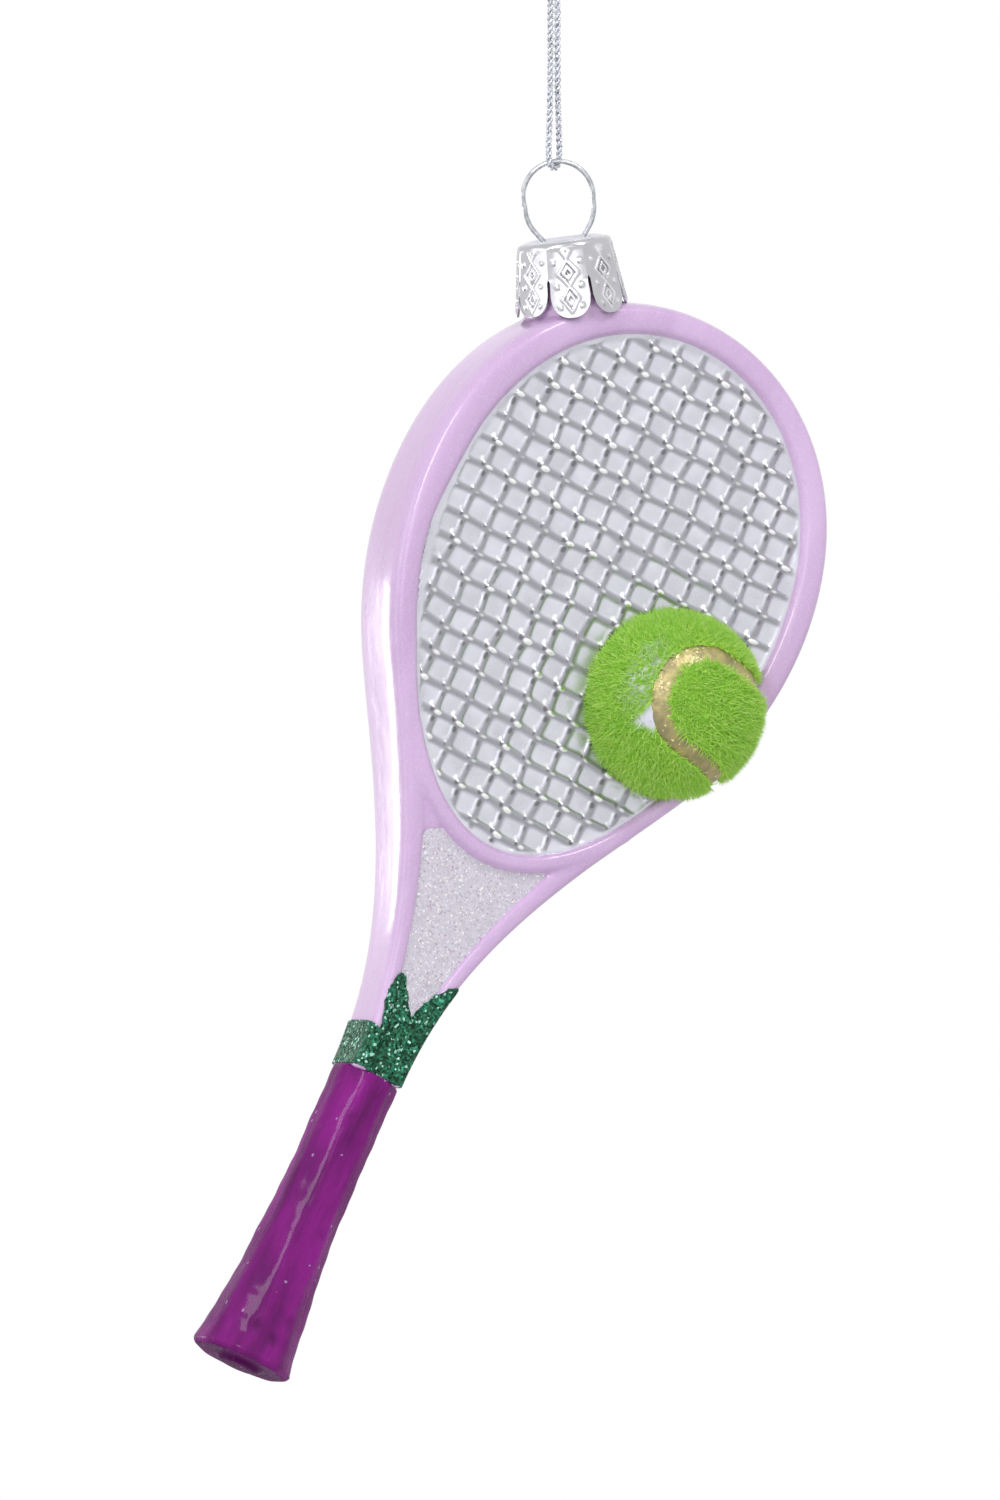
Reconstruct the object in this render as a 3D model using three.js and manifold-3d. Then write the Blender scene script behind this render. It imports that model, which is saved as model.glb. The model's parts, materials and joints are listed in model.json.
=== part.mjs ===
// A blown-glass tennis racket ornament with its cap, wire loop and hanging cord, in millimetres, +Z up.
// The origin is the point of the cord's loop where a hook carries it. The racket's face looks to -Y.
import * as THREE from 'three';
import { mergeVertices } from 'three/addons/utils/BufferGeometryUtils.js';
import Module from 'manifold-3d';

const wasm = await Module();
wasm.setup();

// Placing: how the ornament hangs
const RACKET_TILT = 26; // degrees that the racket's long axis leans to +X
const NECK_LEAN = 7.7; // degrees that the neck leans to -X
const LOOP_TURN = 24.4; // degrees that the wire loop is turned about the neck
const HANG_DROP = 26.56; // hook down to the wire that rests in the cord's bight

// Head and bed: two egg outlines, wider above their middles, the bed's a little lower in the head
const HEAD_HALF_WIDTH = 24.75;
const HEAD_HALF_HEIGHT = 31.2;
const HEAD_EGG = 0.11;
const HEAD_THICKNESS = 10.5;
const BED_SIDE_MARGIN = 3.55; // the bed's outline inside the head's at the sides
const BED_END_MARGIN = 1; // and at the ends, before the bed's drop
const BED_EGG = 0.15;
const BED_DROP = 1.9;
const BED_SHIFT = 0.4;
const RIM_FACE = 2.7;
const WALL_BULGE = 0.65;
const BRIDGE_WIDTH = 2.4;
const BRIDGE_SINK = 0.15;
const BRIDGE_REACH = 45;

// String bed: raised strings that cross on a sunk floor
const STRING_SINK = 0.85;
const STRING_HEIGHT = 0.5;
const STRING_HALF_FOOT = 0.72;
const STRING_PITCH_ACROSS = 3.12;
const STRING_PITCH_ALONG = 3;
const STRING_SHIFT = 0.5;
const STRING_LIFT = -0.8;
const BED_EDGE = 1.2; // the floor runs on under the bridge by this much

// Throat, shaft and grip, measured down the racket's axis from the middle of the head
const THROAT_ANGLE = 126;
const THROAT_REACH = 16.6;
const SHAFT_HALF_WIDTH = 3.1;
const SHAFT_THICKNESS = 7.2;
const SHAFT_FACE = 1.9;
const WEB_SINK = 0.6;
const THROAT_LENGTH = 29.9; // from the head's lower end to the grip
const GRIP_LENGTH = 35.2;
const GRIP_LAP = 1;
const GRIP_FLATS = 7.32;
const BUTT_FLATS = 11.2;
const BUTT_FLARE = 26;
const BUTT_ROUND = 0.7;
const NUB_RADIUS = 2.4;
const NUB_HEIGHT = 0.6;

// Coats on the glass
const COAT = 0.35;
const GAP = 0.3;
const COLLAR_HEIGHT = 5;
const COLLAR_PROUD = 0.15;
const LEAF_TIP_WIDTH = 3.4;
const LEAF_TIP_HEIGHT = 6.9;
const LEAF_NOTCH_HEIGHT = 2.2;
const LEAF_EDGE = [[0.42, 0.36], [0.78, 0.84]]; // shares of a leaf's width and height on its inner edge
const LEAF_INSET = 0.35; // the collar's top corner inside the shaft's side

// Ball: a flocked dome on the lower right of the bed, with one turn of seam
const BALL_RADIUS = 10.6;
const BALL_ACROSS = 13.5;
const BALL_ALONG = -8.6;
const BALL_SINK = 1.25;
const FLOCK = 0.6;
const SEAM_RADIUS = 5.6;
const SEAM_WIDTH = 1.35;
const SEAM_SINK = 0.3;
const SEAM_TURN = -4;

// Glass
const GLASS_WALL = 1;
const NECK_ANGLE = 32.6;
const NECK_RADIUS = 4.6;
const NECK_FILLET = 0.7;
const NECK_ROOT = 3;

// Cap: a stamped crown of petals
const CAP_TOP_RADIUS = 5.3;
const CAP_MOUTH_RADIUS = 6.45;
const CAP_HEIGHT = 7.6;
const CAP_SHEET = 0.3;
const CAP_SHOULDER = 0.8;
const PETALS = 8;
const SLIT_TOP = 3.9;
const SLIT_WIDTH = 0.3;
const PETAL_ROUND = 2.2;
const PETAL_REACH = 0.2;

// Wire loop
const WIRE_RADIUS = 0.275;
const LOOP_RADIUS = 3.9;
const LOOP_RISE = 4.93;
const LEG_HALF_SPREAD = 2.1;
const LEG_LENGTH = 7.6;
const LEG_SPRING = 0.12;

// Cord
const STRAND_RADIUS = 0.31;
const CORD_GAP = 0.15;
const KNOT_RADIUS = 1.15;
const KNOT_HEIGHT = 2.5;
const KNOT_BASE = 0.9;
const TAIL_LENGTH = 5.5;

const HEAD_STEPS = 32;
const THROAT_STEPS = 7;
const SECTION_ANGLES = [0, 30, 60, 90, 130, 230, 270, 300, 330];
const ROUND_STEPS = 24;
const BRIDGE_STEPS = 8;
const GRIP_SIDES = 8;
const FLARE_STEPS = 5;
const BAY_STEPS = 14;
const LOOP_STEPS = 22;
const WIRE_STEPS = 36;
const CORD_STEPS = 48;
const TAIL_STEPS = 5;
const TUBE_SIDES = 8;
const BLUNTEST_MITRE = 0.35;

const SKIN = COAT + GAP;
const HALF_HEAD = HEAD_THICKNESS / 2;
const BED_HALF_WIDTH = HEAD_HALF_WIDTH - BED_SIDE_MARGIN;
const BED_HALF_HEIGHT = HEAD_HALF_HEIGHT - BED_END_MARGIN;
const GRIP_TOP = HEAD_HALF_HEIGHT + THROAT_LENGTH;
const GRIP_END = GRIP_TOP + GRIP_LENGTH;
const COLLAR_TOP = GRIP_TOP - COLLAR_HEIGHT;
const HALF_SHAFT = SHAFT_THICKNESS / 2;
const STRING_TOP = HALF_HEAD - STRING_SINK;
const BALL_BASE = HALF_HEAD - BALL_SINK;
const FLAT = HALF_HEAD * 4;
const rad = THREE.MathUtils.degToRad;
const clamp = THREE.MathUtils.clamp;
const lerp = THREE.MathUtils.lerp;
const v2 = (x, y) => new THREE.Vector2(x, y);
const v3 = (x, y, z) => new THREE.Vector3(x, y, z);

// Closed meshes and solids

function closedMesh(points, faces) {
  let volume = 0;
  for (const [a, b, c] of faces) {
    volume += points[a].dot(points[b].clone().cross(points[c]));
  }
  const turned = volume < 0 ? faces.map(([a, b, c]) => [a, c, b]) : faces;
  const geometry = new THREE.BufferGeometry();
  const flat = points.flatMap((p) => p.toArray());
  geometry.setAttribute('position', new THREE.Float32BufferAttribute(flat, 3));
  geometry.setIndex(turned.flat());
  return geometry;
}

function loft(rings, isRound = false) {
  const points = rings.flat();
  const count = rings[0].length;
  const faces = [];
  const joins = isRound ? rings.length : rings.length - 1;
  for (let i = 0; i < joins; i++) {
    const here = i * count;
    const next = ((i + 1) % rings.length) * count;
    for (let j = 0; j < count; j++) {
      const k = (j + 1) % count;
      faces.push([here + j, next + j, next + k], [here + j, next + k, here + k]);
    }
  }
  if (!isRound) {
    const last = (rings.length - 1) * count;
    for (let j = 1; j < count - 1; j++) {
      faces.push([0, j, j + 1], [last, last + j + 1, last + j]);
    }
  }
  return closedMesh(points, faces);
}

function solid(geometry) {
  const bare = geometry.clone();
  bare.deleteAttribute('normal');
  bare.deleteAttribute('uv');
  const merged = mergeVertices(bare, 1e-4);
  return new wasm.Manifold(new wasm.Mesh({
    numProp: 3,
    vertProperties: new Float32Array(merged.attributes.position.array),
    triVerts: new Uint32Array(merged.index.array),
  }));
}

function join(...solids) {
  return solids.reduce((sum, next) => sum.add(next));
}

function piece(name, shape, material) {
  let geometry = shape;
  if (!shape.isBufferGeometry) {
    const { vertProperties, triVerts } = shape.getMesh();
    geometry = new THREE.BufferGeometry();
    geometry.setAttribute('position', new THREE.BufferAttribute(new Float32Array(vertProperties), 3));
    geometry.setIndex(new THREE.BufferAttribute(new Uint32Array(triVerts), 1));
  }
  const mesh = new THREE.Mesh(geometry, new THREE.MeshStandardMaterial(material));
  mesh.name = name;
  return mesh;
}

function prism(outline, low, high) {
  const shape = new THREE.Shape(outline);
  const geometry = new THREE.ExtrudeGeometry(shape, { depth: high - low, bevelEnabled: false });
  return solid(geometry.translate(0, 0, low));
}

// An outline moved outwards by a distance, corner by corner
function spread(outline, distance) {
  const side = THREE.ShapeUtils.area(outline) > 0 ? 1 : -1;
  return outline.map((point, i) => {
    const before = outline[(i + outline.length - 1) % outline.length];
    const after = outline[(i + 1) % outline.length];
    const a = point.clone().sub(before).normalize();
    const b = after.clone().sub(point).normalize();
    const mitre = v2(a.y + b.y, -a.x - b.x).normalize();
    const reach = (side * distance) / Math.max(BLUNTEST_MITRE, mitre.dot(v2(a.y, -a.x)));
    return point.clone().addScaledVector(mitre, reach);
  });
}

// Outlines in the racket's plane: x across, y along, z out of the face

const HEAD = { width: HEAD_HALF_WIDTH, height: HEAD_HALF_HEIGHT, skew: HEAD_EGG, shift: 0, drop: 0 };
const BED = {
  width: BED_HALF_WIDTH, height: BED_HALF_HEIGHT, skew: BED_EGG, shift: BED_SHIFT, drop: BED_DROP,
};

function egg(shape, angle, offset = 0) {
  const s = Math.sin(angle);
  const c = Math.cos(angle);
  const point = v2(shape.width * s * (1 + shape.skew * c) + shape.shift, shape.height * c - shape.drop);
  const across = shape.width * (c + shape.skew * Math.cos(2 * angle));
  return point.addScaledVector(v2(shape.height * s, across).normalize(), offset);
}

function eggOutline(shape, offset, steps = HEAD_STEPS) {
  return Array.from({ length: steps }, (_, i) => egg(shape, (-2 * Math.PI * i) / steps, offset));
}

const throatStart = egg(HEAD, rad(THROAT_ANGLE));
const throatHeading = egg(HEAD, rad(THROAT_ANGLE + 1)).sub(egg(HEAD, rad(THROAT_ANGLE - 1))).normalize();
const shaftEnd = v2(SHAFT_HALF_WIDTH, -GRIP_TOP - GAP / 2);
const throatCurve = new THREE.CubicBezierCurve(
  throatStart,
  throatStart.clone().addScaledVector(throatHeading, THROAT_REACH),
  shaftEnd.clone().add(v2(0, THROAT_REACH)),
  shaftEnd,
);
const throatPoints = throatCurve.getPoints(THROAT_STEPS);

// How far down the throat a height lies, from 0 in the head to 1 at the shaft
function throatShare(y) {
  return THREE.MathUtils.smoothstep(-y, -throatStart.y, COLLAR_TOP);
}

const bedRim = eggOutline(BED, 0, HEAD_STEPS * 4);
const halfThickness = (y) => lerp(HALF_HEAD, HALF_SHAFT, throatShare(y));
const bulge = (y) => lerp(WALL_BULGE, 0, throatShare(y));

// The face of the frame fills the space up to the bed and narrows down the shaft
function faceWidth(point) {
  const space = Math.min(...bedRim.map((p) => p.distanceTo(point)));
  return lerp(Math.min(space, RIM_FACE), SHAFT_FACE, throatShare(point.y));
}

// One rounded-box section at a point of the outline, crowned on its face and bulging on its wall
function frameSection(point, normal, inner, outer, half) {
  return SECTION_ANGLES.map((degrees) => {
    const c = Math.cos(rad(degrees));
    const s = Math.sin(rad(degrees));
    const across = lerp(inner, outer, 0.5 + 0.5 * Math.sign(c) * Math.sqrt(Math.abs(c)));
    const height = half * Math.sign(s) * Math.sqrt(Math.abs(s));
    return v3(point.x + normal.x * across, point.y + normal.y * across, height);
  });
}

// The outer frame runs up one side of the throat, round the head and down the other side
function framePath() {
  const rise = [...throatPoints].reverse().slice(0, -1);
  const steps = Math.round((HEAD_STEPS * THROAT_ANGLE) / 180);
  const round = Array.from({ length: steps + 1 }, (_, i) => (
    egg(HEAD, rad(lerp(THROAT_ANGLE, -THROAT_ANGLE, i / steps)))
  ));
  const fall = rise.map((p) => v2(-p.x, p.y)).reverse();
  return [...rise, ...round, ...fall];
}

function frameSolid(grow) {
  const path = framePath();
  const rings = path.map((point, i) => {
    const before = path[Math.max(i - 1, 0)];
    const after = path[Math.min(i + 1, path.length - 1)];
    const along = after.clone().sub(before).normalize();
    const normal = v2(along.y, -along.x);
    return frameSection(
      point, normal, -faceWidth(point) - grow, bulge(point.y) + grow, halfThickness(point.y) + grow,
    );
  });
  return solid(loft(rings));
}

// The bridge closes the bed above the throat and runs into the frame at both ends
function bridgeSolid(grow) {
  const rings = Array.from({ length: BRIDGE_STEPS + 1 }, (_, i) => {
    const angle = rad(180 + lerp(-BRIDGE_REACH, BRIDGE_REACH, i / BRIDGE_STEPS));
    const point = egg(BED, angle);
    const normal = egg(BED, angle, 1).sub(point);
    return frameSection(point, normal, -grow, BRIDGE_WIDTH + grow, HALF_HEAD - BRIDGE_SINK + grow);
  });
  return solid(loft(rings));
}

// The core of the throat and shaft, from side to side of the frame
function coreSolid(grow, inset = 0) {
  const rings = throatPoints.map((p) => {
    const half = p.x - faceWidth(p) / 2 - inset;
    const height = halfThickness(p.y) - WEB_SINK + grow;
    return [v3(-half, p.y, -height), v3(half, p.y, -height), v3(half, p.y, height), v3(-half, p.y, height)];
  });
  return solid(loft(rings));
}

// The web fills the triangle of the throat up to the bridge
function webSolid(grow) {
  return coreSolid(grow).subtract(prism(eggOutline(BED, BRIDGE_WIDTH / 2), -FLAT, FLAT));
}

// The grip is an eight-sided handle that flares to its butt
function gripFlats(y) {
  const flare = clamp((-y - (GRIP_END - BUTT_FLARE)) / BUTT_FLARE, 0, 1);
  return lerp(GRIP_FLATS, BUTT_FLATS, flare * flare) / 2;
}

function octagon(half, y) {
  const corner = half / Math.cos(Math.PI / GRIP_SIDES);
  return Array.from({ length: GRIP_SIDES }, (_, k) => {
    const angle = (Math.PI * (2 * k + 1)) / GRIP_SIDES;
    return v3(corner * Math.cos(angle), y, corner * Math.sin(angle));
  });
}

function gripSolid(grow, top = GRIP_TOP - GRIP_LAP - grow) {
  const end = GRIP_END + grow;
  const flareTop = GRIP_END - BUTT_FLARE;
  const rings = [octagon(gripFlats(-top) + grow, -top), octagon(gripFlats(-top) + grow, -flareTop)];
  for (let i = 1; i <= FLARE_STEPS; i++) {
    const y = -lerp(flareTop, end - BUTT_ROUND, i / FLARE_STEPS);
    rings.push(octagon(gripFlats(y) + grow, y));
  }
  rings.push(octagon(gripFlats(-end) + grow - BUTT_ROUND / 3, BUTT_ROUND / 3 - end));
  rings.push(octagon(gripFlats(-end) + grow - BUTT_ROUND, -end));
  return solid(loft(rings));
}

// The nub where the glass was drawn off under the butt
function nubSolid(grow) {
  const base = GRIP_END - BUTT_ROUND * 2;
  const radius = NUB_RADIUS + grow;
  const high = GRIP_END + NUB_HEIGHT + grow - base;
  const profile = [
    v2(0, 0), v2(radius, 0), v2(radius, high - NUB_HEIGHT * 0.6), v2(radius - NUB_HEIGHT, high), v2(0, high),
  ];
  return solid(new THREE.LatheGeometry(profile, ROUND_STEPS / 2).rotateZ(Math.PI).translate(0, -base, 0));
}

function ball(radius) {
  const sphere = new THREE.SphereGeometry(radius, ROUND_STEPS, ROUND_STEPS / 2).rotateX(Math.PI / 2);
  return solid(sphere.translate(BALL_ACROSS, BALL_ALONG, BALL_BASE)).trimByPlane([0, 0, 1], 0);
}

// The floor of the bed with its crossing strings, from below the middle of the glass up.
// The openings between the strings have flat floors, or dished ones, which need fewer facets.
function stringBlock(isDished) {
  const across = Math.ceil(HEAD_HALF_WIDTH / STRING_PITCH_ACROSS);
  const along = Math.ceil(HEAD_HALF_HEIGHT / STRING_PITCH_ALONG);
  const floor = STRING_TOP - STRING_HEIGHT;
  const points = [];
  const faces = [];
  const crest = new Map();
  const add = (x, y, z) => points.push(v3(x, y, z)) - 1;
  for (let i = -across; i <= across; i++) {
    for (let j = -along; j <= along; j++) {
      crest.set(`${i},${j}`, add(i * STRING_PITCH_ACROSS, j * STRING_PITCH_ALONG, STRING_TOP));
    }
  }
  const foot = STRING_HALF_FOOT;
  for (let i = -across; i < across; i++) {
    for (let j = -along; j < along; j++) {
      const top = [[i, j], [i + 1, j], [i + 1, j + 1], [i, j + 1]].map((key) => crest.get(key.join()));
      const [x0, x1] = [i * STRING_PITCH_ACROSS + foot, (i + 1) * STRING_PITCH_ACROSS - foot];
      const [y0, y1] = [j * STRING_PITCH_ALONG + foot, (j + 1) * STRING_PITCH_ALONG - foot];
      if (isDished) {
        const middle = add((x0 + x1) / 2, (y0 + y1) / 2, floor);
        top.forEach((corner, k) => faces.push([corner, top[(k + 1) % 4], middle]));
        continue;
      }
      const low = [add(x0, y0, floor), add(x1, y0, floor), add(x1, y1, floor), add(x0, y1, floor)];
      faces.push([low[0], low[1], low[2]], [low[0], low[2], low[3]]);
      for (let k = 0; k < 4; k++) {
        const n = (k + 1) % 4;
        faces.push([top[k], top[n], low[n]], [top[k], low[n], low[k]]);
      }
    }
  }
  const border = [];
  for (let i = -across; i < across; i++) border.push([i, -along]);
  for (let j = -along; j < along; j++) border.push([across, j]);
  for (let i = across; i > -across; i--) border.push([i, along]);
  for (let j = along; j > -along; j--) border.push([-across, j]);
  const middle = add(0, 0, -GLASS_WALL);
  const under = border.map(([i, j]) => add(i * STRING_PITCH_ACROSS, j * STRING_PITCH_ALONG, -GLASS_WALL));
  border.forEach((key, k) => {
    const n = (k + 1) % border.length;
    const [a, b] = [crest.get(key.join()), crest.get(border[n].join())];
    faces.push([a, under[k], under[n]], [a, under[n], b], [middle, under[n], under[k]]);
  });
  return closedMesh(points, faces);
}

// The floor reaches under the frame and the bridge all round
function bedFloor(grow, low, high) {
  return join(
    prism(eggOutline(BED, BED_EDGE + grow), low, high),
    prism(eggOutline(HEAD, grow - RIM_FACE / 2), low, high),
  );
}

function stringBed() {
  const front = stringBlock(false);
  const back = stringBlock(true).rotateY(Math.PI);
  const block = join(solid(front), solid(back)).translate([STRING_SHIFT, STRING_LIFT, 0]);
  return block.intersect(bedFloor(0, -FLAT, FLAT));
}

// Zones of the coats, seen square to the face

function throatZone(inset) {
  const low = throatPoints.filter((p) => p.y < -BED_HALF_HEIGHT + BED_END_MARGIN);
  const right = low.map((p) => v2(Math.max(p.x - faceWidth(p) - inset, inset / 6), p.y));
  const left = right.map((p) => v2(-p.x, p.y)).reverse();
  return [...right, ...left];
}

function leafZone() {
  const notch = COLLAR_TOP - LEAF_NOTCH_HEIGHT;
  const tip = COLLAR_TOP - LEAF_TIP_HEIGHT;
  const clear = SHAFT_HALF_WIDTH * 2;
  const right = [
    ...LEAF_EDGE.map(([across, up]) => v2(LEAF_TIP_WIDTH * across, -lerp(notch, tip, up))),
    v2(LEAF_TIP_WIDTH, -tip),
    v2(SHAFT_HALF_WIDTH - LEAF_INSET / 7, -(COLLAR_TOP + tip) / 2),
    v2(SHAFT_HALF_WIDTH - LEAF_INSET, -COLLAR_TOP),
    v2(clear, -COLLAR_TOP),
    v2(clear, -GRIP_TOP),
  ];
  const left = right.map((p) => v2(-p.x, p.y)).reverse();
  return [v2(0, -notch), ...right, ...left].reverse();
}

// A bay round the seam's lobe, open to the right edge of the ball
function seamBay(radius) {
  const points = [v2(BALL_RADIUS * 2, radius)];
  for (let i = 0; i <= BAY_STEPS; i++) {
    const angle = Math.PI / 2 + (Math.PI * i) / BAY_STEPS;
    points.push(v2(radius * Math.cos(angle), radius * Math.sin(angle)));
  }
  points.push(v2(BALL_RADIUS * 2, -radius));
  const turned = points.map((p) => p.rotateAround(v2(0, 0), rad(SEAM_TURN)).add(v2(BALL_ACROSS, BALL_ALONG)));
  return prism(turned, 0, FLAT);
}

// The glass

const neckTurn = rad(NECK_LEAN + RACKET_TILT);
const neckFoot = egg(HEAD, -rad(NECK_ANGLE), WALL_BULGE);
const capToFoot = CAP_HEIGHT - PETAL_REACH;
const neckLength = capToFoot - CAP_SHEET - GAP;

// A body turned about the neck's axis, with its foot at the head's rim, measured up the neck
function onNeck(profile, steps = ROUND_STEPS) {
  const geometry = new THREE.LatheGeometry(profile, steps).rotateZ(neckTurn);
  return solid(geometry.translate(neckFoot.x, neckFoot.y, 0));
}

function neckSolid() {
  const flare = NECK_RADIUS + NECK_FILLET;
  return onNeck([
    v2(0, -NECK_ROOT), v2(flare, -NECK_ROOT), v2(flare, 0), v2(NECK_RADIUS, NECK_FILLET * 1.6),
    v2(NECK_RADIUS, neckLength), v2(0, neckLength),
  ]);
}

function cavity() {
  const sink = GLASS_WALL + SKIN;
  const bore = NECK_RADIUS - GLASS_WALL;
  const depth = STRING_TOP - STRING_HEIGHT - GLASS_WALL;
  const root = -NECK_ROOT * 2;
  return join(
    prism(eggOutline(HEAD, WALL_BULGE - sink - GAP, HEAD_STEPS / 2), -depth, depth),
    coreSolid(-sink, GLASS_WALL / 2),
    gripSolid(-sink, GRIP_TOP - GRIP_LAP),
    onNeck([v2(0, root), v2(bore, root), v2(bore, CAP_HEIGHT), v2(0, CAP_HEIGHT)]),
    ball(BALL_RADIUS - FLOCK - GAP - GLASS_WALL),
  );
}

function glassShell() {
  const body = join(
    frameSolid(-SKIN), bridgeSolid(-SKIN), webSolid(-SKIN), gripSolid(-SKIN), nubSolid(-SKIN),
    stringBed(), ball(BALL_RADIUS - FLOCK - GAP), neckSolid(),
  );
  return body.subtract(cavity());
}

// The coats, each cut clear of the glass and of its neighbours

const bedPlate = bedFloor(GAP, -STRING_TOP - GAP, STRING_TOP + GAP);
const grownFrame = (grow) => join(frameSolid(grow), bridgeSolid(grow));

function frameLacquer() {
  const hole = NECK_RADIUS + NECK_FILLET + GAP;
  return grownFrame(0)
    .subtract(join(grownFrame(-COAT), bedPlate, webSolid(-COAT), gripSolid(-COAT)))
    .subtract(prism(spread(leafZone(), GAP), -FLAT, FLAT))
    .subtract(onNeck([v2(0, -NECK_ROOT), v2(hole, -NECK_ROOT), v2(hole, CAP_HEIGHT), v2(0, CAP_HEIGHT)]))
    .subtract(ball(BALL_RADIUS - FLOCK));
}

function throatGlitter(side) {
  const low = side > 0 ? 0 : -FLAT;
  return webSolid(0)
    .subtract(webSolid(-COAT))
    .intersect(prism(throatZone(GAP), low, low + FLAT))
    .subtract(prism(eggOutline(BED, BRIDGE_WIDTH + GAP), -FLAT, FLAT))
    .subtract(prism(spread(leafZone(), GAP), -FLAT, FLAT));
}

function leafCollar() {
  const grown = (grow) => join(frameSolid(grow), webSolid(grow), gripSolid(grow));
  return grown(COLLAR_PROUD)
    .subtract(grown(-COAT))
    .intersect(prism(leafZone(), -FLAT, FLAT));
}

function gripLacquer() {
  const below = prism([v2(-FLAT, -GRIP_TOP - GAP), v2(-FLAT, -GRIP_END * 2), v2(FLAT, -GRIP_END * 2),
    v2(FLAT, -GRIP_TOP - GAP)], -FLAT, FLAT);
  return join(gripSolid(0), nubSolid(0))
    .subtract(join(gripSolid(-COAT), nubSolid(-COAT)))
    .intersect(below);
}

function ballCoat(outer) {
  return ball(outer)
    .subtract(ball(BALL_RADIUS - FLOCK))
    .subtract(join(grownFrame(GAP), bedFloor(0, -FLAT, STRING_TOP + GAP)))
    .intersect(prism(eggOutline(HEAD, BALL_RADIUS), BALL_BASE - 2, FLAT));
}

// The cap: a turned shell, slit into petals with round ends, with two holes for the wire

function petalGap() {
  const half = (Math.PI * CAP_MOUTH_RADIUS) / PETALS;
  const start = CAP_HEIGHT - PETAL_ROUND;
  const right = [v2(SLIT_WIDTH / 2, -SLIT_TOP), v2(half - PETAL_ROUND, -start)];
  const steps = 4;
  for (let i = 1; i <= steps; i++) {
    const angle = (Math.PI / 2) * (i / steps);
    right.push(v2(half - PETAL_ROUND * Math.cos(angle), -start - PETAL_ROUND * Math.sin(angle)));
  }
  right.push(v2(half, -CAP_HEIGHT - CAP_SHEET));
  const left = right.map((p) => v2(-p.x, p.y)).reverse();
  const outline = new THREE.Shape([...right, ...left].reverse());
  const reach = CAP_MOUTH_RADIUS * 1.5;
  const geometry = new THREE.ExtrudeGeometry(outline, { depth: reach, bevelEnabled: false });
  return geometry.rotateX(Math.PI / 2).rotateZ(Math.PI).translate(0, -CAP_SHEET, 0);
}

function ornamentCap() {
  const inner = CAP_TOP_RADIUS - CAP_SHEET;
  const bend = CAP_SHOULDER * 0.3;
  const profile = [
    v2(0, 0), v2(CAP_TOP_RADIUS - CAP_SHOULDER, 0), v2(CAP_TOP_RADIUS - bend, -bend),
    v2(CAP_TOP_RADIUS, -CAP_SHOULDER), v2(CAP_MOUTH_RADIUS, -CAP_HEIGHT),
    v2(CAP_MOUTH_RADIUS - CAP_SHEET, -CAP_HEIGHT), v2(inner, -CAP_SHOULDER),
    v2(inner - bend, -CAP_SHEET - bend / 2),
    v2(inner - CAP_SHOULDER, -CAP_SHEET), v2(0, -CAP_SHEET),
  ];
  let cap = solid(new THREE.LatheGeometry(profile.reverse(), ROUND_STEPS).rotateX(Math.PI / 2));
  const gap = petalGap();
  for (let k = 0; k < PETALS; k++) {
    cap = cap.subtract(solid(gap.clone().rotateZ((2 * Math.PI * (k + 0.5)) / PETALS)));
  }
  for (const side of [-1, 1]) {
    const hole = new THREE.CylinderGeometry(WIRE_RADIUS + GAP, WIRE_RADIUS + GAP, CAP_SHEET * 4, 12);
    cap = cap.subtract(solid(hole.rotateX(Math.PI / 2).translate(side * LEG_HALF_SPREAD, 0, 0)));
  }
  return cap;
}

// The loop: one wire, round from leg to leg, with legs that spring outwards in the neck

function wireLoop() {
  const points = [];
  const foot = Math.asin(LEG_HALF_SPREAD / LOOP_RADIUS);
  const leg = (side) => [0.15, 0.55, 1].map((share) => {
    const down = LEG_LENGTH * share;
    return v3(side * (LEG_HALF_SPREAD + down * LEG_SPRING), 0, -down);
  });
  points.push(...leg(-1).reverse());
  for (let i = 0; i <= LOOP_STEPS; i++) {
    const angle = lerp(foot, 2 * Math.PI - foot, i / LOOP_STEPS);
    points.push(v3(-LOOP_RADIUS * Math.sin(angle), 0, LOOP_RISE - LOOP_RADIUS * Math.cos(angle)));
  }
  points.push(...leg(1));
  const curve = new THREE.CatmullRomCurve3(points, false, 'centripetal');
  return tube(curve, WIRE_RADIUS, WIRE_STEPS);
}

function tube(curve, radius, steps) {
  const section = new THREE.Shape();
  for (let k = 0; k < TUBE_SIDES; k++) {
    const angle = (2 * Math.PI * k) / TUBE_SIDES;
    const [x, y] = [radius * Math.cos(angle), radius * Math.sin(angle)];
    if (k === 0) section.moveTo(x, y);
    else section.lineTo(x, y);
  }
  return new THREE.ExtrudeGeometry(section, { steps, bevelEnabled: false, extrudePath: curve });
}

// The cord: one strand from the knot, round the hook's eye, down, under the wire and up again.
// Its points are measured from the hook: to the right, to the front and up, seen square to the loop.

const bightBottom = -HANG_DROP - WIRE_RADIUS - STRAND_RADIUS - CORD_GAP;
const cordRoute = [
  [-0.42, 0, 0.62], [-0.95, 0, -0.25], [-1.3, 0, -1.5], [-1.1, 0, -3], [-0.62, 0, -4.8], [-0.42, 0, -7],
  [-0.4, 0, -11], [-0.4, 0, -15], [-0.42, 0.1, -19], [-0.5, 0.5, -22.5], [-0.58, 0.95, -24.8],
  [-0.58, 1.1, -26.1], [-0.5, 0.93, -26.85], [-0.28, 0.5, -27.3], [0, 0, -27.44],
  [0.28, -0.5, -27.3], [0.5, -0.93, -26.85], [0.58, -1.1, -26.1], [0.58, -0.95, -24.8],
  [0.5, -0.5, -22.5], [0.42, -0.1, -19], [0.4, 0, -15], [0.4, 0, -11], [0.42, 0, -7],
  [0.62, 0, -4.8], [1.1, 0, -3], [1.3, 0, -1.5], [0.95, 0, -0.25], [0.42, 0, 0.62],
];

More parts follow.
